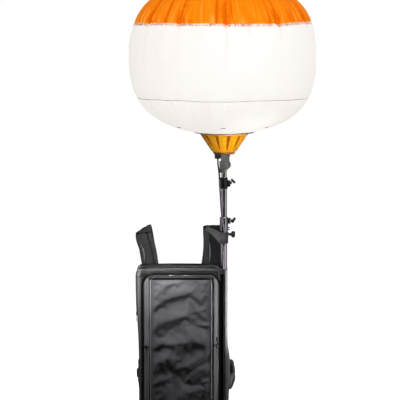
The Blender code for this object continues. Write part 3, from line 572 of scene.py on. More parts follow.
def webbing_look(name, colour, light):
    """Woven strap: ribs along and across."""
    look = Look(name, 0.68, Sheen_Weight=0.05, Specular_IOR_Level=0.15)
    ribs = look.weave(0.0019)
    look.set(Base_Color=look.mix(look.range(ribs, 0.9, 2.2), colour, light))
    look.vary(60, 3, 0.58, 0.78)
    look.set(Normal=look.bump(look.noise(40, 3), 0.0007, 0.5, look.bump(ribs, 0.00035, 0.8)))
    return look.material


def mesh_look(name, colour, light):
    """Spacer mesh on the padding: close round holes."""
    look = Look(name, 0.82, Sheen_Weight=0.06, Sheen_Roughness=0.4, Specular_IOR_Level=0.15)
    cells = look.node("TexVoronoi", {"Vector": look.place(), "Scale": 520}, feature="F1").outputs["Distance"]
    holes = look.range(cells, 0.12, 0.5)
    yarn = look.mix(look.noise(12, 4), colour, light)
    look.set(Base_Color=look.mix(holes, tuple(0.25 * c for c in colour), yarn))
    look.set(Normal=look.bump(look.noise(30, 3), 0.0012, 0.5, look.bump(holes, 0.0006, 0.8)))
    return look.material


def plain_look(name, colour, light, roughness, scale=60.0, depth=0.0002, **fixed):
    """A surface with slight mottling and grain."""
    look = Look(name, roughness, **fixed)
    look.set(Base_Color=look.patches(scale, 5, colour, light))
    look.vary(scale * 2, 3, roughness - 0.07, roughness + 0.08)
    look.set(Normal=look.bump(look.noise(scale * 9, 3), depth, 0.6))
    return look.material


# The balloon fabric's emission paints the glow of the lamp inside; its first and third colours are the
# painted crease shade and ridge highlight.
ORANGE = balloon_look("orange_fabric", (0.72, 0.105, 0.000), (0.99, 0.250, 0.004), (1.0, 0.43, 0.075),
                      (0.85, 0.190, 0.003), 0.74)
WHITE = balloon_look("white_fabric", (0.92, 0.87, 0.84), (1.0, 0.955, 0.91), (1.0, 0.985, 0.955),
                     grey(0.45, 0.46), 0.83)
OVERLOCK = overlock_look()
AMBER = amber_look("amber_plastic", (0.90, 0.41, 0.008), (0.84, 0.33, 0.006), 0.13)
# A darker copy of the amber plastic as painted shade on the inlet shroud seen through the cone's slots; its
# emission is a faint painted glow.
SHADED_AMBER = amber_look("amber_plastic_painted_shade", (0.42, 0.105, 0.003), (0.33, 0.080, 0.002), 0.14)
# Near black for painted shade, and for real dark seams.
NEAR_BLACK = grey(0.002)
CLOTH = cloth_look("bag_cloth", grey(0.010, 0.011), grey(0.024, 0.025), 0.0011, 0.50)
# Painted light on the bag cloth: a painted highlight lightens it towards its left edge, and painted shade
# makes it near black on its right side beside the pole tunnel and on its top.
PAINTED_LIGHT_BAG_CLOTH = cloth_look("bag_cloth_with_painted_light", grey(0.009, 0.0095), grey(0.021, 0.0215), 0.0011, 0.50,
                       parts=(("X", -0.354, -0.374, (0.105, 0.104, 0.108)),
                              ("X", -0.0240, -0.0225, NEAR_BLACK),
                              ("Z", BAG_HIGH - 0.0045, BAG_HIGH - 0.0030, NEAR_BLACK)))
# Painted light on the zip tape: a painted highlight lightens it right of x -0.12, and painted shade makes it
# near black towards the top, from 0.596 m up.
TAPE_CLOTH = cloth_look("zip_tape", grey(0.048, 0.050), (0.090, 0.089, 0.094), 0.0009, 0.42, 0.0003,
                        parts=(("X", -0.16, -0.12, (0.100, 0.098, 0.103)),
                               ("Z", POCKET_HIGH - 0.016, POCKET_HIGH - 0.006, NEAR_BLACK)))
# Painted light on the pocket cloth: painted shade makes it near black on the pocket's top, and a painted
# highlight lightens it right of the front panel.
PANEL_CLOTH = cloth_look("pocket_cloth", (0.032, 0.0315, 0.0340), (0.060, 0.059, 0.064), 0.0011, 0.46, 0.0022,
                         parts=(("Z", POCKET_HIGH - 0.0130, POCKET_HIGH - 0.0115, NEAR_BLACK),
                                ("X", PANEL_RIGHT + 0.003, PANEL_RIGHT + 0.006, (0.070, 0.069, 0.073))))
SLEEVE_CLOTH = sleeve_look()
TRIM = cloth_look("bag_trim", grey(0.022, 0.023), grey(0.050, 0.052), 0.0009, 0.42, 0.0003)
STRAP_CLOTH = cloth_look("strap_cloth", grey(0.011, 0.0115), grey(0.025, 0.026), 0.0010)
# A lighter copy of the strap cloth, as a painted highlight on the raised strap folds.
FOLD_HIGHLIGHT_CLOTH = cloth_look("fold_painted_highlight_cloth", grey(0.045, 0.046), grey(0.085, 0.087), 0.0009, 0.42, 0.0003)
# Near-black cloth for the bar tacks, and as painted shade for the right shoulder strap.
BLACK_AND_SHADE_CLOTH = cloth_look("black_and_painted_shade_cloth", grey(0.005, 0.006), grey(0.011, 0.012), 0.0010)
# Near-black cloth for real dark seams, and for strips that stand as painted shade in the crevices between
# parts.
SEAM_AND_SHADE_BLACK = cloth_look("seam_and_painted_shade_cloth", NEAR_BLACK, grey(0.005), 0.0009, 0.7, 0.0002, 0.0)
# The piping is a lighter copy of the trim cloth as a painted highlight on the round cords, and painted shade
# darkens it near the pocket's top.
PIPING = cloth_look("piping", (0.095, 0.094, 0.098), (0.170, 0.168, 0.174), 0.0009, 0.42, 0.0003,
                    parts=(("Z", POCKET_HIGH - 0.018, POCKET_HIGH - 0.008, grey(0.020)),))
PAD_MESH = mesh_look("pad_mesh", grey(0.030, 0.032), (0.055, 0.054, 0.058))
WING_MESH = mesh_look("wing_mesh", grey(0.018, 0.019), grey(0.036, 0.038))
WEBBING = webbing_look("webbing", grey(0.012, 0.013), grey(0.034, 0.035))
BLACK_WEBBING = webbing_look("black_webbing", grey(0.003), grey(0.010))
GREY_WEBBING = webbing_look("grey_webbing", grey(0.080, 0.083), grey(0.15, 0.156))
SLING_WEBBING = webbing_look("sling_webbing", grey(0.022, 0.023), grey(0.055, 0.057))
THREAD = plain_look("grey_thread", grey(0.055, 0.056), grey(0.11, 0.112), 0.7, 400)
TACK_THREAD = plain_look("tack_thread", grey(0.16), grey(0.24), 0.7, 400)
SEAM_THREAD = plain_look("dome_thread", grey(0.50), grey(0.66), 0.7, 400)
BLACK_THREAD = plain_look("black_thread", grey(0.004), grey(0.010), 0.7, 400)
DARK_STEEL = plain_look("dark_zip_pull", grey(0.035), grey(0.08), 0.45, 300)
BLACK = plastic_look("black_plastic", grey(0.012), grey(0.05, 0.048))
GLOSS_BLACK = plastic_look("gloss_black_plastic", grey(0.010), grey(0.04), 0.22, 0.00004)
CASTING = casting_look()
TUBE_METAL = metal_look("bright_tube", (0.86, 0.82, 0.87), (0.78, 0.73, 0.79), 0.09, 900)
# Painted reflection: the top tube's metal is tinted warm, as a reflection of the lamp; it is the same metal
# as the lower tubes.
WARM_REFLECTION_TUBE_METAL = metal_look("bright_tube_painted_warm_reflection", (0.88, 0.88, 0.72), (0.80, 0.79, 0.62), 0.09, 900)
CLAMP_METAL = metal_look("grey_clamp", (0.52, 0.50, 0.53), (0.42, 0.40, 0.43), 0.16, 900)
STEEL = metal_look("steel", (0.62, 0.61, 0.60), (0.62, 0.61, 0.60), 0.28, 500, (1, 1, 1))
DARK_BOLT = metal_look("dark_bolt", grey(0.13, 0.125), grey(0.13, 0.125), 0.42, 500, (1, 1, 1))
RUBBER = plain_look("rubber", grey(0.018), (0.035, 0.034, 0.033), 0.82, 80, 0.0004)
SHEATH = plain_look("cable_sheath", grey(0.006), (0.014, 0.013, 0.014), 0.45, 90, 0.0001)
# Painted highlight: the middle and lower runs of the same black cable are coloured lilac-grey.
PAINTED_HIGHLIGHT_SHEATH = plain_look("painted_highlight_cable_sheath", (0.11, 0.09, 0.115), (0.17, 0.14, 0.175), 0.28, 90, 0.0001,
                         Coat_Weight=0.3)
LAMP = plain_look("frosted_lamp", (0.92, 0.90, 0.84), (0.96, 0.95, 0.92), 0.35, 30, 0.0001,
                  Emission_Color=(1.0, 0.96, 0.88), Emission_Strength=3.0)
BATTERY = plain_look("battery_case", grey(0.08, 0.085), grey(0.12, 0.125), 0.5)
ZIP = plain_look("zip_teeth", grey(0.035, 0.037), grey(0.11, 0.115), 0.42, 300)
FLANGE = plain_look("flange_blue_grey", (0.020, 0.026, 0.042), (0.04, 0.05, 0.07), 0.4)
BROWN_BASE = plain_look("brown_base", (0.26, 0.075, 0.010), (0.32, 0.10, 0.016), 0.45, Specular_IOR_Level=0.3)
BROWN_MOTOR = plastic_look("brown_motor", (0.16, 0.045, 0.008), (0.22, 0.07, 0.012))
BROWN_FAN = plastic_look("brown_fan", (0.24, 0.070, 0.008), (0.32, 0.10, 0.015))

NODE_LOOKS = (
    (FLANGE, "neck_flange"), (BROWN_BASE, "blower_base"), (BROWN_MOTOR, "fan_motor"),
    (BROWN_FAN, "fan_rotor"), (STEEL, "lamp_stem"), (LAMP, "led_lamp"), (AMBER, "blower_cone"),
    (SHADED_AMBER, "inlet_shroud"), (GLOSS_BLACK, "cable_connector upper_clamp"),
    (CASTING, "tilt_tongue tilt_fork pole_bracket"), (DARK_BOLT, "tilt_bolt"), (CLAMP_METAL, "lower_clamp"),
    (RUBBER, "mast_foot bag_base"), (BATTERY, "battery_block"), (WARM_REFLECTION_TUBE_METAL, "mast_tube_top"),
    (TUBE_METAL, "mast_tube_lower mast_tube_middle"),
    (BLACK, "upper_clamp_knob lower_clamp_knob pole_bracket_knob"),
    (BLACK, "strap_buckle_left strap_buckle_right hip_buckle_left hip_buckle_right"),
)


def dress_nodes():
    """Gives each CAD node that stays its finish."""
    for look, names in NODE_LOOKS:
        for name in names.split():
            slots = NODES[name].material_slots
            if not slots:
                NODES[name].data.materials.append(look)
            for slot in slots:
                slot.material = look


# Balloon


def balloon_table():
    """From the top to the hem: distance along the fabric, radius, height and the outward direction."""
    hem = -math.acos((HEM_RADIUS / BALLOON_RADIUS) ** (BALLOON_POWER / 2))
    angle = np.linspace(math.pi / 2, hem, 2400)
    power = 2 / BALLOON_POWER
    radius = BALLOON_RADIUS * np.maximum(np.cos(angle), 0) ** power
    rise = np.sign(angle) * np.abs(np.sin(angle)) ** power
    height = BALLOON_CENTRE_Z + np.where(rise > 0, BALLOON_UPPER_HEIGHT, BALLOON_LOWER_HEIGHT) * rise
    along = np.concatenate([[0], np.cumsum(np.hypot(np.diff(radius), np.diff(height)))])
    tangent = unit(np.column_stack([np.gradient(radius), np.gradient(height)]))
    return along, radius, height, -tangent[:, 1], tangent[:, 0]


ALONG, RADIUS, HEIGHT, OUT_R, OUT_Z = balloon_table()
SEAM_UP = float(np.interp(-UPPER_SEAM_Z, -HEIGHT, ALONG))
SEAM_LOW = float(np.interp(-LOWER_SEAM_Z, -HEIGHT, ALONG))


def wrapped(angle):
    return (angle + math.pi) % (2 * math.pi) - math.pi


def gathers(theta, away, count, seed, height, reach):
    """Wrinkles that start at a seam. away is the distance from it, and reach is the longest one's length."""
    random = np.random.default_rng(seed)
    total = np.zeros(theta.shape)
    for _ in range(count):
        centre = random.uniform(-math.pi, math.pi)
        width = math.radians(random.uniform(0.24, 0.85))
        length = reach * random.uniform(0.2, 1) ** 1.5
        slant = random.uniform(-0.35, 0.35)
        size = height * random.uniform(-1, 0.8)
        turn = wrapped(theta - centre - slant * away) / (width * (1 + 0.8 * away / length))
        total += size * np.exp(-turn**2 - (away / length) ** 2)
    return total


def fans(theta, away):
    """Sharp folds that spread upwards from the feet of the upright seams."""
    random = np.random.default_rng(17)
    total = np.zeros(theta.shape)
    for seam in GORE_SEAMS:
        for slant in np.linspace(-1, 1, 7) + random.uniform(-0.15, 0.15, 7):
            length = random.uniform(0.06, 0.20)
            turn = wrapped(theta - seam - slant * (0.012 + away)) / math.radians(0.30)
            total -= random.uniform(0.4, 1) * 0.0030 * np.exp(-turn**2 - (away / length) ** 2)
    return total


def seam_distance(theta):
    """The angle to the nearest upright seam."""
    return np.min(np.abs(wrapped(theta[..., None] - GORE_SEAMS)), axis=-1)


def creases(theta, along):
    """The fabric's sharp folds: along the upright seams, and gathers that run from the two round seams."""
    nearest = seam_distance(theta)
    above = SEAM_UP - along
    below = along - SEAM_LOW
    arc = nearest * np.maximum(np.interp(along, ALONG, RADIUS), 0.02)
    cap = ease(above / 0.004 + 0.5)
    under = ease(below / 0.004 + 0.5)
    move = -cap * (0.0030 + 0.0060 * np.exp(-above / 0.08)) * np.exp(-arc / 0.0060)
    pucker = np.sin(along / 0.0052 + 3 * np.sin(5 * theta)) * np.exp(-arc / 0.016)
    move += 0.0007 * cap * pucker
    reach = np.abs(above) + 4 * np.maximum(-above, 0)
    move += gathers(theta, reach, 150, 13, 0.0038, 0.19) * cap
    move += gathers(theta, reach, 260, 4, 0.0030, 0.050) * cap
    move += fans(theta, reach) * cap
    move += gathers(theta, np.maximum(-above, 0), 170, 5, 0.0022, 0.060) * (1 - cap)
    drop = (np.minimum(above, 0) / 0.09) ** 2
    move -= (1 - cap) * 0.0034 * np.exp(-(nearest / math.radians(0.7)) ** 2 - drop)
    move += gathers(theta, np.maximum(-below, 0), 90, 7, 0.0018, 0.040) * (1 - under)
    move += gathers(theta, np.maximum(below, 0), 150, 9, 0.0028, 0.16) * under
    return move


def envelope_points(theta, along, lift=0.0):
    """The fabric's points at angles from the front and distances from the top."""
    nearest = seam_distance(theta)
    above = SEAM_UP - along
    below = along - SEAM_LOW
    dip = 0.0042 * np.exp(-(nearest / math.radians(1.4)) ** 2)
    wave = 0.0016 * np.sin(3 * theta + 0.6) + 0.0008 * np.sin(11 * theta)
    wave -= 0.0060 * ease(np.sin(theta) * 2 - 1)
    low_wave = 0.0016 * np.sin(5 * theta + 1.9) + 0.0007 * np.sin(17 * theta)
    shifted = along + (dip + wave) * np.exp(-(above / 0.05) ** 2) + low_wave * np.exp(-(below / 0.05) ** 2)
    radius = np.interp(shifted, ALONG, RADIUS)
    height = np.interp(shifted, ALONG, HEIGHT)
    cap = ease(above / 0.004 + 0.5)
    swell = 0.0045 * np.sin(np.clip(nearest / math.radians(15), 0, 1) * math.pi / 2) ** 0.7 - 0.002
    move = cap * ease(above / 0.11) * swell * np.clip(radius / 0.2, 0, 1)
    move += creases(theta, along) * np.clip(radius / 0.1, 0, 1)
    move -= 0.0026 * np.exp(-(above / 0.012) ** 2) + 0.0026 * np.exp(-(below / 0.010) ** 2)
    x, y = np.sin(theta), -np.cos(theta)
    rough = np.stack([radius * x, radius * y, height], axis=-1)
    calm = np.clip((ALONG[-1] - along) / 0.05, 0, 1)
    move = (move + 0.0014 * ripple(rough, 0.30, 21) + 0.0004 * ripple(rough, 0.07, 22)) * calm + lift
    out_r, out_z = np.interp(along, ALONG, OUT_R), np.interp(along, ALONG, OUT_Z)
    radius = np.maximum(radius + out_r * move, 0.0)
    return np.stack([radius * x + BALLOON_SHIFT_X, radius * y, height + out_z * move], axis=-1)


def row_places(start, end, spacing, near_start, near_end):
    """Distances from the top, close together beside a seam."""
    places = [start]
    while places[-1] < end - 0.0005:
        edge = min(places[-1] - start if near_start else 1, end - places[-1] if near_end else 1)
        places.append(places[-1] + min(spacing, 0.0016 + 0.16 * edge))
    return start + (np.array(places) - start) * (end - start) / (places[-1] - start)


def envelope_panel(name, start, end, columns, look, slot, near_start, near_end):
    """One sewn ring of fabric. Its crease values tell the material where the fabric is folded."""
    places = row_places(start, end, 0.0085, near_start, near_end)
    theta = np.linspace(-math.pi, math.pi, columns, endpoint=False)
    grid_theta, grid_along = np.meshgrid(theta, places)
    points = envelope_points(grid_theta, grid_along)
    faces = grid_faces(len(places), len(theta), wrap_columns=True)
    made = add_mesh(name, points, [face[::-1] for face in faces], look)
    values = made.data.attributes.new("crease", "FLOAT", "POINT")
    values.data.foreach_set("value", creases(grid_theta, grid_along).ravel().astype(np.float32))
    own(made, "head", slot, f"envelope_{name}")


def seam_ring(name, start, end, lift, look, slot):
    """A closed flat tape round the balloon between two distances from the top."""
    rows, columns = 8, 720
    theta = np.linspace(-math.pi, math.pi, columns, endpoint=False)
    along = np.concatenate([np.linspace(start, end, rows), np.linspace(end, start, rows)])
    lifts = np.repeat([lift, lift - 0.0009], rows)
    points = envelope_points(*np.meshgrid(theta, along), lifts[:, None])
    faces = [face[::-1] for face in grid_faces(2 * rows, columns, wrap_rows=True, wrap_columns=True)]
    own(add_mesh(name, points, faces, look), "head", slot)


def surface_path(theta, along, lift):
    """A path on the fabric. Either of theta and along may be one number for all its points."""
    theta, along = np.broadcast_arrays(np.asarray(theta, float), np.asarray(along, float))
    return envelope_points(theta[None], along[None], lift)[0]


def build_balloon():
    top, hem = 0.0006, ALONG[-1]
    envelope_panel("orange_cap", top, SEAM_UP, 1080, ORANGE, "orange_fabric", False, True)
    envelope_panel("white_band", SEAM_UP, SEAM_LOW, 900, WHITE, "white_fabric", True, True)
    envelope_panel("lower_dome", SEAM_LOW, hem, 900, WHITE, "white_fabric", True, False)
    seam_ring("upper_seam_overlock", SEAM_UP - 0.0015, SEAM_UP + 0.0105, 0.0011, OVERLOCK, "white_fabric")
    turn = np.linspace(-math.pi, math.pi, 900, endpoint=False)
    for name, along, look, slot in (("upper_seam_thread", SEAM_UP - 0.0022, ORANGE, "orange_fabric"),
                                    ("lower_seam_thread", SEAM_LOW + 0.0002, SEAM_THREAD, "white_fabric")):
        path = surface_path(turn, along, 0.0004)
        strip(name, path, (0, 0, 1), ring(0.0010, 6), look, slot, closed=True, body="head")
    for number, seam in enumerate(GORE_SEAMS):
        path = surface_path(seam, np.linspace(0.02, SEAM_UP - 0.002, 120), 0.0004)
        side = (-math.cos(seam), -math.sin(seam), 0.0)
        tape = band_section(0.006, 0.0008)
        strip(f"gore_seam_{number + 1}", path, side, tape, ORANGE, "orange_fabric", body="head")
    build_hem_tacks()


def build_hem_tacks():
    """Short sewn bars round the lower dome."""
    level = float(np.interp(-HEM_TACK_Z, -HEIGHT, ALONG))
    for number in range(7):
        theta = 2 * math.pi * number / 7 + np.linspace(-0.046, 0.046, 9)
        path = surface_path(theta, level, 0.0006)
        bar = ring(0.0019, 8, 0.6)
        strip(f"hem_tack_{number + 1}", path, (0, 0, 1), bar, TACK_THREAD, "white_fabric", body="head")


# Bag

POCKET_FOLDS = [
    ([(-0.313, 0.520), (-0.264, 0.563), (-0.215, 0.594), (-0.179, 0.597)], 0.0035, 0.022),
    ([(-0.313, 0.474), (-0.273, 0.505), (-0.228, 0.526), (-0.167, 0.539)], 0.0055, 0.024),
    ([(-0.315, 0.384), (-0.280, 0.409), (-0.222, 0.434), (-0.161, 0.449)], 0.0055, 0.030),
    ([(-0.311, 0.303), (-0.268, 0.325), (-0.216, 0.322)], 0.0040, 0.022),
    ([(-0.240, 0.266), (-0.222, 0.300), (-0.182, 0.328), (-0.136, 0.337), (-0.066, 0.322)], 0.0065, 0.034),
    ([(-0.149, 0.222), (-0.106, 0.256), (-0.066, 0.288)], 0.0045, 0.018),
    ([(-0.311, 0.207), (-0.274, 0.241), (-0.228, 0.247)], 0.0055, 0.028),
    ([(-0.143, 0.172), (-0.106, 0.203), (-0.066, 0.214)], 0.0045, 0.020),
    ([(-0.087, 0.401), (-0.057, 0.404)], 0.0025, 0.010),
    ([(-0.090, 0.157), (-0.057, 0.164)], 0.0028, 0.010),
    ([(-0.314, 0.144), (-0.274, 0.160), (-0.241, 0.172)], 0.0035, 0.016),
    ([(-0.198, 0.213), (-0.161, 0.228)], 0.0030, 0.018),
    ([(-0.230, 0.060), (-0.160, 0.110), (-0.070, 0.130)], 0.0040, 0.022),
]


BAG_FOLDS = [
    ([(-0.372, 0.607), (-0.345, 0.618), (-0.322, 0.612)], 0.0040, 0.010),
    ([(-0.362, 0.628), (-0.335, 0.634)], 0.0030, 0.008),
    ([(-0.330, 0.622), (-0.200, 0.628), (-0.060, 0.622)], 0.0028, 0.012),
]


def stitches(name, path, side, slot, lift=0, look=THREAD, spacing=0.0046, size=(0.0030, 0.0007, 0.0007)):
    """A row of stitches. size is one stitch's length, width and height."""
    blocks_along(name, path, side, spacing, size, lift, look, slot)


def bag_shape(points):
    """The main bag's set: its left side draws in lower down, its top bows and its left corner is round."""
    moved = points.copy()
    x, _, z = points.T
    leftness = np.clip((-0.20 - x) / 0.18, 0, 1)
    moved[:, 0] += 0.010 * ease((0.57 - z) / 0.33) * leftness
    corner = np.array([BAG_LEFT + BAG_CORNER, BAG_HIGH - BAG_CORNER])
    reach = moved[:, [0, 2]] - corner
    far = np.maximum(np.hypot(reach[:, 0], reach[:, 1]), 1e-6)
    outside = (reach[:, 0] < 0) & (reach[:, 1] > 0) & (far > BAG_CORNER)
    rounded = corner + reach * (BAG_CORNER / far)[:, None]
    moved[:, [0, 2]] = np.where(outside[:, None], rounded, moved[:, [0, 2]])
    arch = np.sin(np.clip((x - BAG_LEFT) / (BAG_RIGHT - BAG_LEFT), 0, 1) * math.pi)
    moved[:, 2] += 0.0025 * arch * ease((z - 0.58) / 0.06)
    return moved


def build_bag():
    low, high = (BAG_LEFT, BAG_FRONT, BAG_LOW), (BAG_RIGHT, BAG_BACK, BAG_HIGH)
    points, out, faces = soft_box(low, high, 0.019, 0.006)
    slack = 0.0022 * ripple(points * [1, 1, 0.6], 0.16, 31) + 0.0009 * ripple(points, 0.05, 32)
    flat = np.max(np.abs(out), axis=1) ** 6
    slack = (slack - 0.0020) * (0.35 + 0.65 * flat)
    front = np.clip(-out[:, 1], 0, 1)
    for route, height, width in BAG_FOLDS:
        slack += front * fold(points[:, 0], points[:, 2], route, height, width)
    points = bag_shape(points + out * slack[:, None])
    own(add_mesh("bag_shell", points, faces, PAINTED_LIGHT_BAG_CLOTH), "root", "bag_cloth", "bag_body", "bag_top_panel")
    # The back and lid piping are near black as painted shade; the front piping keeps the trim cloth.
    for name, depth, inset, top, corner, radius, look in (
            ("bag_front_piping", BAG_FRONT + 0.005, 0.005, BAG_HIGH - 0.005, 0.020, 0.0024, TRIM),
            ("bag_back_piping", BAG_BACK - 0.0055, 0.005, BAG_HIGH - 0.005, 0.020, 0.0024, SEAM_AND_SHADE_BLACK),
            ("bag_lid_piping", BAG_BACK - 0.012, 0.0035, BAG_HIGH - 0.0005, 0.022, 0.0021, SEAM_AND_SHADE_BLACK)):
        loop = rounded_loop(BAG_LEFT + inset, BAG_RIGHT - inset, BAG_LOW + inset, top, depth, corner)
        piping(name, bag_shape(loop), radius, look)
    level = (BAG_FRONT - 0.0006, BAG_HIGH - 0.0095)
    edging = bag_shape(np.linspace((BAG_LEFT + 0.045, *level), (BAG_RIGHT - 0.018, *level), 60))
    strip("bag_top_edging", edging, (0, 0, 1), band_section(0.0040, 0.0016), TRIM, "bag_trim")
    build_main_zip()


def gusset_route(left, right, depth, low, top, corner=0.022):
    """An upside-down U round the bag or the pocket: up its left, over its top and down its right."""
    points = [(left, depth, z) for z in np.arange(low, top - corner, 0.006)]
    for start, centre in ((180, left + corner), (90, right - corner)):
        for angle in np.radians(np.linspace(start, start - 90, 8)):
            points.append((centre + corner * math.cos(angle), depth, top - corner + corner * math.sin(angle)))
    points += [(right, depth, z) for z in np.arange(top - corner, low, -0.006)]
    return np.array(points)


def zip_run(name, path, side, width):
    """A zip: its tape, its row of teeth and the stitches beside them."""
    strip(name + "_tape", path, side, band_section(width, 0.0016, 0.0004), TAPE_CLOTH, "bag_trim")
    tooth = (0.0017, 0.0050, 0.0022)
    blocks_along(name + "_teeth", path, side, 0.0030, tooth, -0.0012, ZIP, "bag_trim", bow=0.8)
    for label, mark in (("a", -0.36), ("b", 0.36)):
        edge = path + frames(path, side)[1] * width * mark
        stitches(f"{name}_stitches_{label}", edge, side, "bag_trim", -0.0009)


def zip_pull(name, top, direction, length, cord_drop, wide=(1, 0, 0)):
    """A slider with its metal tab and a looped cord. wide is the direction that the tab is broad in."""
    top, direction, wide = np.array(top, float), unit(np.array(direction, float)), np.array(wide, float)
    side = wide + [0, 0, 0.2]
    body = resample([top - direction * 0.005, top + direction * 0.006], 0.002)
    strip(name + "_slider", body, side, ring(0.0042, 10, 0.6), DARK_STEEL, "steel")
    tab = resample([top + direction * 0.004, top + direction * length], 0.002)
    strip(name + "_tab", tab, side, band_section(0.0055, 0.0014), DARK_STEEL, "steel")
    turns = [(0.0, 0.0), (0.0040, 0.008), (0.0045, cord_drop), (0.0, cord_drop + 0.004), (-0.0035, cord_drop),
             (-0.0025, 0.008), (0.0, 0.0)]
    loop = smooth_route([tab[-1] + aside * wide - [0, 0, down] for aside, down in turns], 5)
    strip(name + "_cord", loop, CORD_SIDE, ring(0.0011, 6), TRIM, "bag_trim")


def build_main_zip():
    depth = BAG_FRONT + 0.032
    path = bag_shape(gusset_route(BAG_LEFT - 0.0004, BAG_RIGHT + 0.0004, depth, 0.430, BAG_HIGH + 0.0004))
    zip_run("main_zip", path, (0, 1, 0), 0.024)
    zip_pull("main_zip_pull_left", path[2] + [-0.001, 0, 0], (0, 0, -1), 0.018, 0.016, (0, 1, 0))


def pocket_side_x(x, y):
    """Narrows the pocket from the bag towards its front panel."""
    share = np.clip((BAG_FRONT - y) / (BAG_FRONT - POCKET_FRONT), 0, 1)
    left = GUSSET_LEFT + (PANEL_LEFT - GUSSET_LEFT) * share
    right = GUSSET_RIGHT + (PANEL_RIGHT - GUSSET_RIGHT) * share
    return left + (x - GUSSET_LEFT) * (right - left) / (GUSSET_RIGHT - GUSSET_LEFT)


def pocket_sides(depth):
    """The places of the pocket's left and right sides at a depth."""
    return pocket_side_x(GUSSET_LEFT, depth), pocket_side_x(GUSSET_RIGHT, depth)


def pocket_corner(y):
    """The radius of the pocket's upper corners, larger beside the bag than at its front panel."""
    return 0.014 + 0.032 * np.clip((y - POCKET_FRONT) / (BAG_FRONT - POCKET_FRONT), 0, 1)


def round_pocket(points):
    """Rounds the pocket's two upper corners."""
    y = points[:, 1]
    radius = pocket_corner(y)
    for level, sign in ((GUSSET_LEFT, -1), (GUSSET_RIGHT, 1)):
        centre_x = pocket_side_x(level, y) - sign * radius
        aside = np.maximum((points[:, 0] - centre_x) * sign, 0)
        above = np.maximum(points[:, 2] - (POCKET_HIGH - radius), 0)
        draw = np.maximum(aside, above) / np.maximum(np.hypot(aside, above), 1e-6)
        draw = np.where((aside > 0) & (above > 0), draw, 1.0)
        points[:, 0] += sign * aside * (draw - 1)
        points[:, 2] += above * (draw - 1)
    return points


def panel_margin(x, z):
    """The distance from the front panel's nearest edge."""
    across = np.minimum(x - PANEL_LEFT, PANEL_RIGHT - x)
    return np.maximum(np.minimum(across, np.minimum(z - POCKET_LOW, POCKET_HIGH - z)), 0)


def panel_depth(x, z):
    """How far the pocket's front panel stands out, with its folds."""
    u = np.clip((x - PANEL_LEFT) / (PANEL_RIGHT - PANEL_LEFT), 0, 1)
    points = np.column_stack([x, np.zeros(x.shape), z])
    slanted = points @ [[0.8, 0, 0.6], [0, 1, 0], [-0.3, 0, 0.5]]
    depth = 0.0035 * np.sin(u * math.pi) ** 0.6
    depth += 0.0014 * ripple(slanted, 0.075, 41) + 0.0005 * ripple(points, 0.030, 42)
    slackness = np.interp(z, [0.16, 0.34, 0.54], [1.5, 1.75, 1.05])
    for route, height, width in POCKET_FOLDS:
        depth += fold(x, z, route, slackness * height, 1.15 * width)
    return depth * ease(panel_margin(x, z) / 0.030) - 0.0010


def build_pocket():
    back = BAG_FRONT + 0.012
    low, high = (GUSSET_LEFT, POCKET_FRONT, POCKET_LOW), (GUSSET_RIGHT, back, POCKET_HIGH)
    points, out, faces = soft_box(low, high, 0.010, 0.0042)
    points[:, 0] = pocket_side_x(points[:, 0], points[:, 1])
    points = round_pocket(points)
    front = np.clip(-out[:, 1], 0, 1)
    points[:, 1] -= front**2 * panel_depth(points[:, 0], points[:, 2])
    sides = np.abs(out[:, 0])
    slack = 0.0012 * ripple(points * [1, 1, 0.35], 0.05, 43) - 0.0012
    points += out * (slack * np.maximum(sides, np.abs(out[:, 2])))[:, None]
    pocket = own(add_mesh("pocket_shell", points, faces, PANEL_CLOTH), "root", "bag_cloth", "front_pocket")
    free = ease(panel_margin(points[:, 0], points[:, 2]) / 0.030) * front
    free = np.maximum(free, 0.55 * sides * ease((POCKET_HIGH - 0.03 - points[:, 2]) / 0.05))
    settle(pocket, free, cap=0.008)
    loop = rounded_loop(PANEL_LEFT + 0.0015, PANEL_RIGHT - 0.0015, POCKET_LOW + 0.002, POCKET_HIGH - 0.002,
                        POCKET_FRONT + 0.0015, 0.017)
    piping("panel_piping", loop, 0.0023, PIPING, "pocket_piping")
    # The near-black cord beside the front panel's piping is a painted shadow in that crevice.
    for name, depth, section, look in (("panel_seam", -0.1090, ring(0.0030, 10, 0.45), SEAM_AND_SHADE_BLACK),
                                       ("zip_front_piping", -0.1015, ring(0.0021, 10), PIPING),
                                       ("zip_back_piping", -0.0765, ring(0.0021, 10, 0.8), PIPING)):
        left, right = pocket_sides(depth)
        loop = rounded_loop(left, right, POCKET_LOW, POCKET_HIGH + 0.0004, depth, pocket_corner(depth))
        strip(name, loop, (0, 1, 0), section, look, "bag_trim", closed=True)
    # The black base piping and the flat black band round the pocket's foot are painted shadow where the
    # pocket meets the bag.
    loop = rounded_loop(GUSSET_LEFT + 0.0005, GUSSET_RIGHT - 0.0005, POCKET_LOW, POCKET_HIGH + 0.001,
                        BAG_FRONT - 0.003, 0.045)
    piping("pocket_base_piping", loop, 0.0022, SEAM_AND_SHADE_BLACK)
    loop = rounded_loop(GUSSET_LEFT - 0.0045, GUSSET_RIGHT + 0.0025, POCKET_LOW - 0.004, POCKET_HIGH + 0.005,
                        BAG_FRONT - 0.0003, 0.049)
    section = ring(0.0042, 10)[:, ::-1] * [0.30, 1.0]
    strip("pocket_base_seam", loop, (0, 1, 0), section, SEAM_AND_SHADE_BLACK, "bag_trim", closed=True)
    build_pocket_zip()


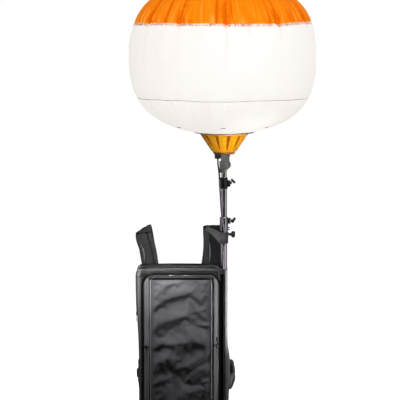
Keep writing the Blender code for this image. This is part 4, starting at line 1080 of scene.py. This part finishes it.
def build_pocket_zip():
    depth = (BAG_FRONT + POCKET_FRONT) / 2
    left, right = pocket_sides(depth)
    corner = pocket_corner(depth)
    path = gusset_route(left - 0.0006, right + 0.0006, depth, 0.3085, POCKET_HIGH + 0.0006, corner)
    slope = (PANEL_LEFT - GUSSET_LEFT) / (POCKET_FRONT - BAG_FRONT)
    lean = slope * np.clip(((left + right) / 2 - path[:, 0]) / 0.12, -1, 1)
    side = np.column_stack([lean, np.ones(len(path)), np.zeros(len(path))])
    zip_run("pocket_zip", path, side, 0.022)
    for name, end, sign in (("pocket_zip_stop_left", path[0], 1), ("pocket_zip_stop_right", path[-1], -1)):
        across = unit(np.array([sign * slope, 1, 0])) * 0.020
        middle = end + [-0.002 * sign, -0.0005, 0]
        points = resample([middle - across, middle, middle + across], 0.004)
        strip(name, points, (0, 0, 1), band_section(0.011, 0.0018), WEBBING, "webbing")
    zip_pull("pocket_zip_pull_right", path[-1] + [0.003, 0, 0.030], (0.25, 0, -1), 0.020, 0.022)
    level = (depth - 0.004, POCKET_HIGH + 0.002)
    zip_pull("pocket_zip_pull_top_a", (-0.229, *level), (1, -0.25, 0), 0.012, 0.006)
    zip_pull("pocket_zip_pull_top_b", (-0.170, *level), (1, -0.25, 0.1), 0.018, 0.006)


# Harness


def pad_strip(name, path, side, width, seams, look, node, taper=None, thread=THREAD):
    """A padded strap with bound edges and stitched seams."""
    taper = np.ones(len(path)) if taper is None else taper
    sections = np.repeat(pad_section(width, PAD_THICKNESS, seams)[None], len(path), axis=0)
    sections[..., 0] *= taper[:, None]
    rows = sweep(path, side, sections)
    flat = rows.reshape(-1, 3)
    _, across, out = frames(path, side)
    dents = 0.0007 * ripple(flat, 0.05, len(name)) + 0.0009 * ripple(flat, 0.11, len(name) + 1)
    rows = rows + out[:, None] * dents.reshape(rows.shape[:2])[..., None]
    piece = own(tube_mesh(name, rows, look), "root", "padding", node)
    for label, edge in (("a", -1), ("b", 1)):
        line = path + across * (edge * taper * (width / 2 - 0.0034))[:, None]
        strip(f"{name}_binding_{label}", line, side, ring(0.0036, 10, 0.75), TRIM, "bag_trim")
    for number, seam in enumerate(seams):
        for label, face in (("in", -1), ("out", 1)):
            line = path + across * (taper * seam)[:, None] + out * face * (PAD_THICKNESS / 2 - 0.0016)
            stitches(f"{name}_stitches_{number}_{label}", line, across, "padding", 0, thread, 0.0050,
                     (0.0033, 0.0008, 0.0008))


def build_shoulder_straps():
    start = ((PAD_FRONT + PAD_BACK) / 2, PAD_HIGH + TOUCH)
    left = [(-0.3205, *start), (-0.3310, 0.0790, 0.700), (-0.3480, 0.0800, 0.756), (-0.3490, 0.1050, 0.788),
            (-0.3470, 0.1360, 0.768), (-0.3350, 0.1560, 0.690), (-0.3180, 0.1640, 0.580),
            (-0.3030, 0.1580, 0.450), (-0.2950, 0.1380, 0.340)]
    right = [(-0.0490, *start), (-0.0495, 0.0790, 0.700), (-0.0510, 0.0800, 0.762), (-0.0520, 0.1050, 0.799),
             (-0.0520, 0.1360, 0.775), (-0.0515, 0.1560, 0.690), (-0.0660, 0.1640, 0.580),
             (-0.0880, 0.1580, 0.450), (-0.0960, 0.1380, 0.340)]
    # The right strap pad is near black, darker than the left one, as painted shade; its band keeps the
    # strap's own colour.
    for side, route, tilt, seams, width, look in (
            ("left", left, 0.60, (-0.020, 0.013), STRAP_WIDTH, STRAP_CLOTH),
            ("right", right, 0.05, (-0.010, 0.020), STRAP_WIDTH + 0.003, BLACK_AND_SHADE_CLOTH)):
        path = resample(smooth_route(route, 12), 0.007)
        lean = tilt * ease(1 - np.abs(path[:, 2] - 0.785) / 0.08)
        across = np.column_stack([np.ones(len(path)), np.zeros(len(path)), lean])
        pad_strip(f"strap_pad_{side}", path, across, width, seams, look, f"shoulder_strap_{side}",
                  thread=BLACK_THREAD)
        build_strap_trim(side, path, across)
        build_strap_webbing(side, path[-1])


def build_strap_trim(side, path, across):
    """What is sewn on a shoulder strap: a band or a seam, a raised fold painted lighter as a painted
    highlight, and a bar tack.
    """
    _, wide, out = frames(path, across)
    front = -1 if out[3][1] > 0 else 1
    upright = (path[:, 2] < 0.786) & (path[:, 1] < 0.10)
    path, across, wide = path[upright], across[upright], wide[upright]
    lift = out[upright] * front * (PAD_THICKNESS / 2 + 0.0006)
    bend = np.sin(np.clip((np.linspace(0, 1, len(path)) - 0.10) / 0.62, 0, 1) * math.pi)
    if side == "right":
        band = path - wide * 0.0235 + lift
        strip("strap_band_right", band, across, band_section(0.0235, 0.0018), STRAP_CLOTH, "padding")
        offset = -0.0135 + 0.0035 * bend
        level, reach, size = 3, (-0.031, -0.014), 0.0013
    else:
        seam = path + wide * 0.0180 + lift * 1.02
        strip("strap_seam_left", seam, across, band_section(0.0036, 0.0012, 0.0003), SEAM_AND_SHADE_BLACK, "padding")
        offset = -0.0225 + 0.003 * bend
        level, reach, size = len(path) - 3, (-0.034, 0.034), 0.0034
    raised = bend > 0.02
    line = path + wide * offset[:, None] + lift * 1.12
    sections = ring(1.0, 10, 0.55)[None] * (0.0034 * bend[raised])[:, None, None]
    strip(f"strap_fold_{side}", line[raised], across[raised], sections, FOLD_HIGHLIGHT_CLOTH, "padding")
    bar = path[level] + wide[level] * np.linspace(*reach, 12)[:, None] + lift[level] * 1.15
    strip(f"strap_cross_seam_{side}", bar, (0, 1, 0), ring(size, 10), BLACK_AND_SHADE_CLOTH, "padding")


def build_strap_webbing(side, end):
    """The adjusting webbing from the strap's lower end to the bag's foot."""
    inward = 1 if side == "left" else -1
    x, y, _ = end
    low_y = PAD_BACK + TOUCH + WEBBING_THICKNESS / 2
    route = [(x, y - 0.001, 0.3077), (x - 0.005 * inward, y - 0.006, 0.220),
             (x - 0.010 * inward, low_y + 0.012, 0.110), (x - 0.012 * inward, low_y + 0.001, 0.060),
             (x - 0.012 * inward, low_y, 0.030)]
    path = resample(smooth_route(route, 8), 0.006)
    strip(f"strap_tail_{side}", path, (1, 0, 0), band_section(0.025, WEBBING_THICKNESS), WEBBING, "webbing",
          f"strap_webbing_{side}")


def build_hip_wings():
    seat = PAD_BACK + TOUCH + PAD_THICKNESS / 2
    plans = {"left": [(-0.340, seat), (-0.362, 0.108), (-0.3725, 0.135), (-0.370, 0.175), (-0.346, 0.205)],
             "right": [(-0.062, seat), (-0.018, 0.108), (0.032, 0.112), (0.0475, 0.135), (0.042, 0.175),
                       (0.004, 0.205)]}
    for side, plan in plans.items():
        path = resample(smooth_route([(x, y, WING_MIDDLE_Z) for x, y in plan], 12), 0.005)
        taper = 1 - 0.22 * ease((np.linspace(0, 1, len(path)) - 0.55) / 0.45)
        pad_strip(f"hip_wing_{side}", path, (0, 0, 1), WING_HEIGHT, (-0.040, 0.0, 0.040), WING_MESH,
                  f"hip_belt_{side}", taper)
        along = unit(path[-1] - path[-2])
        start = path[-1] + along * 0.0005
        tail = resample([start - along * 0.060, start, start + along * 0.040], 0.005)
        section = band_section(0.040, WEBBING_THICKNESS)
        strip(f"hip_strap_{side}", tail, (0, 0, 1), section, WEBBING, "webbing", f"hip_webbing_{side}")
    for piece in bpy.data.objects:
        if piece.name.startswith("hip_wing_right"):
            round_wing(piece.data)


def round_wing(mesh):
    """Draws in the upper and lower edges of the right wing's turn."""
    points = read_points(mesh)
    rise = (points[:, 2] - 0.128) / 0.065
    points[:, 0] -= 0.011 * rise**2 * ease(points[:, 0] / 0.040) * np.where(rise > 0, 0.8, 1.3)
    write_points(mesh, points)


def build_hip_trim():
    """The strap tip, sewn strip, webbing patch and strap adjuster on the right hip wing."""
    face = PAD_BACK - 0.0012

    def sew(name, route, width, look, slot, thick=0.0024):
        path = resample(smooth_route([(x, face + y, z) for x, y, z in route], 8), 0.004)
        side = np.cross(unit(np.gradient(path, axis=0)), (0, 1, 0))
        strip(name, path, side, band_section(width, thick), look, slot)

    sew("hip_strap_tip", [(0.0300, 0.0, 0.188), (0.0345, -0.001, 0.176), (0.0350, -0.001, 0.150),
                          (0.0350, 0.001, 0.128)], 0.0125, BLACK_WEBBING, "webbing")
    sew("hip_edge_strip", [(0.0215, 0.001, 0.180), (0.0195, -0.001, 0.160), (0.0190, -0.001, 0.140),
                           (0.0195, 0.0, 0.116)], 0.0070, PIPING, "bag_trim")
    sew("hip_webbing_patch", [(0.0385, -0.001, 0.146), (0.0330, -0.002, 0.130), (0.0255, -0.002, 0.110),
                              (0.0200, 0.0, 0.098)], 0.0230, GREY_WEBBING, "webbing", 0.0032)
    for label, low, high in (("a", 0.0390, 0.0450), ("b", 0.0520, 0.0570)):
        z = (low + high) / 2
        route = [(0.0080, 0.0, z), (0.0165, -0.001, z), (0.0250, 0.0, z)]
        sew(f"hip_adjuster_bar_{label}", route, high - low, GLOSS_BLACK, "black_plastic", 0.0045)
    sew("hip_adjuster_strap", [(0.0165, -0.0005, 0.075), (0.0160, -0.0010, 0.056), (0.0160, -0.0005, 0.036)],
        0.0150, BLACK_WEBBING, "webbing", 0.0020)


def build_back_pad():
    low, high = (BAG_LEFT + 0.012, PAD_FRONT, 0.012), (BAG_RIGHT - 0.004, PAD_BACK, PAD_HIGH)
    points, out, faces = soft_box(low, high, 0.009, 0.0055)
    u = (points[:, 0] - low[0]) / (high[0] - low[0])
    channels = np.zeros(len(points))
    for seam in (0.26, 0.5, 0.74):
        channels = np.maximum(channels, np.exp(-((u - seam) * 0.347 / 0.009) ** 2))
    for level in (0.150, 0.270, 0.390, 0.510):
        channels = np.maximum(channels, np.exp(-((points[:, 2] - level) / 0.009) ** 2))
    rear = np.clip(out[:, 1], 0, 1)
    move = rear * (0.0030 - 0.0085 * channels + 0.0008 * ripple(points, 0.06, 51))
    points = points + out * move[:, None]
    pad = own(add_mesh("back_cushion", points, faces, PAD_MESH), "root", "padding", "back_pad")


def build_sleeve():
    """The tunnel that the mast stands in, with a raised seam and a flare at the hip."""
    angles = np.linspace(0, 2 * math.pi, 40, endpoint=False)
    turn, z = np.meshgrid(angles, np.arange(0.037, 0.6341, 0.006))
    flare = 0.012 * ease((0.318 - z) / 0.10) * (1 - 0.5 * ease((0.16 - z) / 0.10))
    x = TUNNEL_HALF_WIDTH * np.cos(turn) + flare * np.clip(np.cos(turn), 0, 1) ** 1.5
    outer = np.stack([x, -0.0022 + TUNNEL_HALF_DEPTH * np.sin(turn), z], axis=-1)
    radial = np.column_stack([np.cos(angles), np.sin(angles), np.zeros(len(angles))])
    outer = outer + radial * (0.0006 * ripple(outer * [1, 1, 0.5], 0.04, 61))[..., None]
    points = np.concatenate([outer, (outer - radial * 0.0012)[::-1]])
    faces = grid_faces(len(points), len(angles), wrap_rows=True, wrap_columns=True)
    own(add_mesh("mast_tunnel", points, faces, SLEEVE_CLOTH), "root", "bag_cloth", "mast_sleeve")
    column = int(np.argmin(np.abs(angles - math.radians(288))))
    seam = outer[:, column] + radial[column] * 0.0004
    cord = ring(0.0013, 8)
    strip("mast_tunnel_seam", seam, CORD_SIDE, cord, TRIM, "bag_trim")
    for label, level in (("top", 1), ("foot", -2)):
        strip(f"mast_tunnel_hem_{label}", outer[level], (0, 0, 1), cord, TRIM, "bag_trim", closed=True)


def build_pole_strap():
    """The wide strap round the pole, which narrows to the top of the right shoulder strap."""
    low, high = 0.7425, 0.7915
    angles = np.linspace(0, 2 * math.pi, 48, endpoint=False)
    loop = np.column_stack([-0.0010 + 0.0190 * np.cos(angles), -0.0046 + 0.0238 * np.sin(angles),
                            np.full(48, (low + high) / 2)])
    section = band_section(high - low, 0.0018)
    strip("pole_loop", loop, (0, 0, 1), section, WEBBING, "webbing", "pole_strap", closed=True)
    turn = np.linspace(0, 2 * math.pi, 24, endpoint=False)
    eyelet = np.column_stack([np.full(24, 0.0188), 0.0078 * np.cos(turn), 0.7803 + 0.0078 * np.sin(turn)])
    strip("pole_loop_eyelet", eyelet, (1, 0, 0), ring(0.0012, 8), STEEL, "steel", closed=True)
    route = [(0.0060, -0.0300, 0.7665), (-0.0140, -0.0275, 0.7675), (-0.0330, 0.0040, 0.7780),
             (-0.0550, 0.0440, 0.7890), (-0.0770, 0.0780, 0.7990)]
    path = resample(smooth_route(route, 10), 0.004)
    share = np.linspace(0, 1, len(path))
    width = 0.047 - 0.027 * ease(share / 0.9)
    sections = np.repeat(np.asarray(band_section(1.0, 0.0020, 0.0004))[None], len(path), axis=0)
    sections[..., 0] *= width[:, None]
    across = np.column_stack([0.25 * share, 0.10 * share, np.ones(len(path))])
    rows = sweep(path, across, sections)
    rows += 0.0012 * ripple(rows, 0.04, 71)[..., None] * [0.3, 1, 0.2] * ease(share / 0.2)[:, None, None]
    own(tube_mesh("pole_sling", rows, SLING_WEBBING), "root", "webbing")
    for label, edge in (("a", -0.42), ("b", 0.42)):
        line = path + unit(across) * (edge * width)[:, None] + [0, -0.0012, 0]
        stitches(f"pole_sling_stitches_{label}", line, across, "webbing", spacing=0.0044)


def build_corner_patch():
    """The cloth that joins the bag's top corner to the pole tunnel, and its lining."""
    route = [(-0.0480, -0.0590, 0.6250), (-0.0280, -0.0530, 0.6255), (-0.0130, -0.0330, 0.6250),
             (-0.0030, -0.0262, 0.6245)]
    path = resample(smooth_route(route, 8), 0.003)
    strip("tunnel_corner_patch", path, (0, 0, 1), band_section(0.027, 0.0022), CLOTH, "bag_cloth")
    lining = resample([(-0.0500, 0.0450, 0.634), (-0.0330, 0.0300, 0.634), (-0.0130, 0.0120, 0.634)], 0.004)
    strip("tunnel_corner_lining", lining, (0, 0, 1), band_section(0.045, 0.0022), SEAM_AND_SHADE_BLACK, "bag_cloth")
    for label, lift in (("low", -0.0115), ("high", 0.0115)):
        stitches(f"tunnel_patch_stitches_{label}", path + [0, -0.0012, lift], (0, 0, 1), "bag_cloth")


# Cable


def build_cables():
    """Three runs of the power cable, one for each part of the mast that it hangs beside."""
    front = -(LOWER_TUBE_RADIUS + CABLE_RADIUS + TOUCH)
    route = [(-0.0275, -0.0558, PLUG_LOW_Z - TOUCH), (-0.0262, -0.0550, 1.0877), (-0.0232, -0.0470, 1.0635),
             (-0.0210, -0.0380, 1.0440), (-0.0200, -0.0310, 1.0225), (-0.0178, -0.0270, 0.9813),
             (-0.0150, -0.0255, 0.9423), (-0.0132, -0.0250, 0.9077), (-0.0100, -0.0248, 0.8729),
             (-0.0048, -0.0247, 0.8337), (0.0014, -0.0240, 0.8000), (0.0030, -0.0204, 0.7700),
             (0.0024, front, 0.7330), (0.0004, front, 0.6760), (0.0, front, 0.6320), (0.0, front, 0.5900)]
    points = smooth_route(route, 4)
    runs = {"top": (1.0225, 2.0, "mast_top", "head", 1.035, 1.100),
            "middle": (0.9077, 1.0225, "mast_middle", "mast_top", 0.925, 1.005),
            "lower": (-1.0, 0.9077, "root", "mast_middle", 0.800, 0.895)}
    for name, (low, high, below, above, start, end) in runs.items():
        path = points[(points[:, 2] > low - 0.0001) & (points[:, 2] < high + 0.0001)]
        rows = sweep(path, (0.0, 1.0, 0.2), ring(CABLE_RADIUS, 12))
        piece = tube_mesh(f"cable_{name}", rows, SHEATH if name == "top" else PAINTED_HIGHLIGHT_SHEATH)
        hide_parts(f"power_cable_{name}")
        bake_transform(piece)
        length = float(np.linalg.norm(np.diff(path, axis=0), axis=1).sum())


# Studio


def soft_light(name, place, aim, size, power, spread=180, mirrored=True):
    """A soft panel light that the camera doesn't see, and polished metal only where mirrored is set."""
    data = bpy.data.lights.new(name, "AREA")
    data.shape = "RECTANGLE"
    data.size, data.size_y = size
    data.energy = power
    data.spread = math.radians(spread)
    made = bpy.data.objects.new(name, data)
    bpy.context.scene.collection.objects.link(made)
    made.location = place
    made.rotation_mode = "QUATERNION"
    made.rotation_quaternion = (Vector(aim) - Vector(place)).to_track_quat("-Z", "Y")
    made.visible_camera = False
    made.visible_glossy = mirrored


def build_studio():
    scene = bpy.context.scene
    scene.view_settings.view_transform = "Standard"
    world = bpy.data.worlds.new("studio")
    scene.world = world
    world.use_nodes = True
    tree = world.node_tree
    background = tree.nodes["Background"]
    direction = tree.nodes.new("ShaderNodeTexCoord")
    parts = tree.nodes.new("ShaderNodeSeparateXYZ")
    tree.links.new(direction.outputs["Generated"], parts.inputs[0])
    path = tree.nodes.new("ShaderNodeLightPath")

    def ramp(source, low, high, to_low, to_high):
        made = tree.nodes.new("ShaderNodeMapRange")
        tree.links.new(source, made.inputs["Value"])
        for name, value in (("From Min", low), ("From Max", high), ("To Min", to_low), ("To Max", to_high)):
            made.inputs[name].default_value = value
        return made.outputs[0]

    def blend(factor, a, b):
        made = tree.nodes.new("ShaderNodeMix")
        for socket, value in zip(made.inputs, (factor, None, a, b)):
            if isinstance(value, bpy.types.NodeSocket):
                tree.links.new(value, socket)
            elif value is not None:
                socket.default_value = value
        return made.outputs[0]

    ambient = ramp(parts.outputs["Z"], -0.2, 0.9, 0.02, 0.15)
    right = ramp(parts.outputs["Y"], -0.38, -0.20, 0.72, 0.16)
    right = blend(ramp(parts.outputs["Y"], -0.79, -0.71, 0.0, 1.0), 0.012, right)
    left = ramp(parts.outputs["Y"], 0.20, 0.70, 0.31, 0.05)
    left = blend(ramp(parts.outputs["Y"], -0.64, -0.52, 0.0, 1.0), 0.012, left)
    mirrored = blend(ramp(parts.outputs["X"], -0.05, 0.05, 0.0, 1.0), left, right)
    strength = blend(path.outputs["Is Glossy Ray"], ambient, mirrored)
    strength = blend(path.outputs["Is Camera Ray"], strength, 1.0)
    tree.links.new(strength, background.inputs["Strength"])
    background.inputs["Color"].default_value = (1, 1, 1, 1)
    soft_light("bag_light", (-0.41, -0.30, 0.99), (-0.22, -0.10, 0.58), (0.20, 0.14), 5.0, 86, False)
    soft_light("balloon_light", (0.6, -3.4, 2.0), (0, 0, 1.62), (1.2, 1.2), 2.7, 36)
    soft_light("cone_light", (0.50, -1.00, 1.16), (0, 0, 1.18), (0.20, 0.20), 0.14, 14)
    soft_light("right_light", (2.4, -0.34, 0.80), (0, 0, 0.52), (0.3, 0.3), 3.9, 27, False)
    soft_light("wing_light", (2.2, -0.9, 0.55), (0.03, 0.108, 0.13), (0.15, 0.15), 0.18, 13, False)
    soft_light("left_light", (-2.6, -1.2, 1.7), (0, 0, 1.1), (0.5, 2.2), 3.2, 180, False)
    soft_light("back_light", (0.6, 2.8, 2.6), (0, 0, 1.0), (2.4, 1.6), 14, 180, False)
    build_floor()
    build_camera()


def build_floor():
    """A pale floor: bright to the camera, dark to other rays and clear to those from polished metal."""
    look = Look("pale_floor", 0.9, Emission_Color=(1, 1, 1), Emission_Strength=0.95)
    look.set(Base_Color=(0.80, 0.80, 0.80))
    dark = look.node("BsdfDiffuse", {"Color": (0.10, 0.10, 0.10)})
    clear = look.node("BsdfTransparent")
    rays = look.node("LightPath").outputs
    seen = look.node("MixShader", {0: rays["Is Camera Ray"], 1: dark.outputs[0], 2: look.shader.outputs[0]})
    both = look.node("MixShader", {0: rays["Is Glossy Ray"], 1: seen.outputs[0], 2: clear.outputs[0]})
    output = look.tree.nodes["Material Output"]
    look.tree.links.new(both.outputs[0], output.inputs["Surface"])
    angles = np.linspace(0, 2 * math.pi, 96, endpoint=False)
    points = [(0, 0, 0)] + [(60 * math.cos(a), 60 * math.sin(a), 0) for a in angles]
    faces = [(0, 1 + k, 1 + (k + 1) % 96) for k in range(96)]
    add_mesh("floor", points, faces, look.material)


def build_camera():
    data = bpy.data.cameras.new("camera")
    data.sensor_width = 36.0
    data.lens = 147.24
    data.clip_end = 100.0
    camera = bpy.data.objects.new("camera", data)
    bpy.context.scene.collection.objects.link(camera)
    camera.location = (-0.1033, -7.0, 1.75)
    camera.rotation_euler = (math.radians(83.313), 0, 0)
    bpy.context.scene.camera = camera


def main():
    build_studio()
    build_cables()
    dress_nodes()
    build_balloon()
    build_bag()
    build_pocket()
    build_shoulder_straps()
    build_hip_wings()
    build_hip_trim()
    build_back_pad()
    build_sleeve()
    build_pole_strap()
    build_corner_patch()


main()
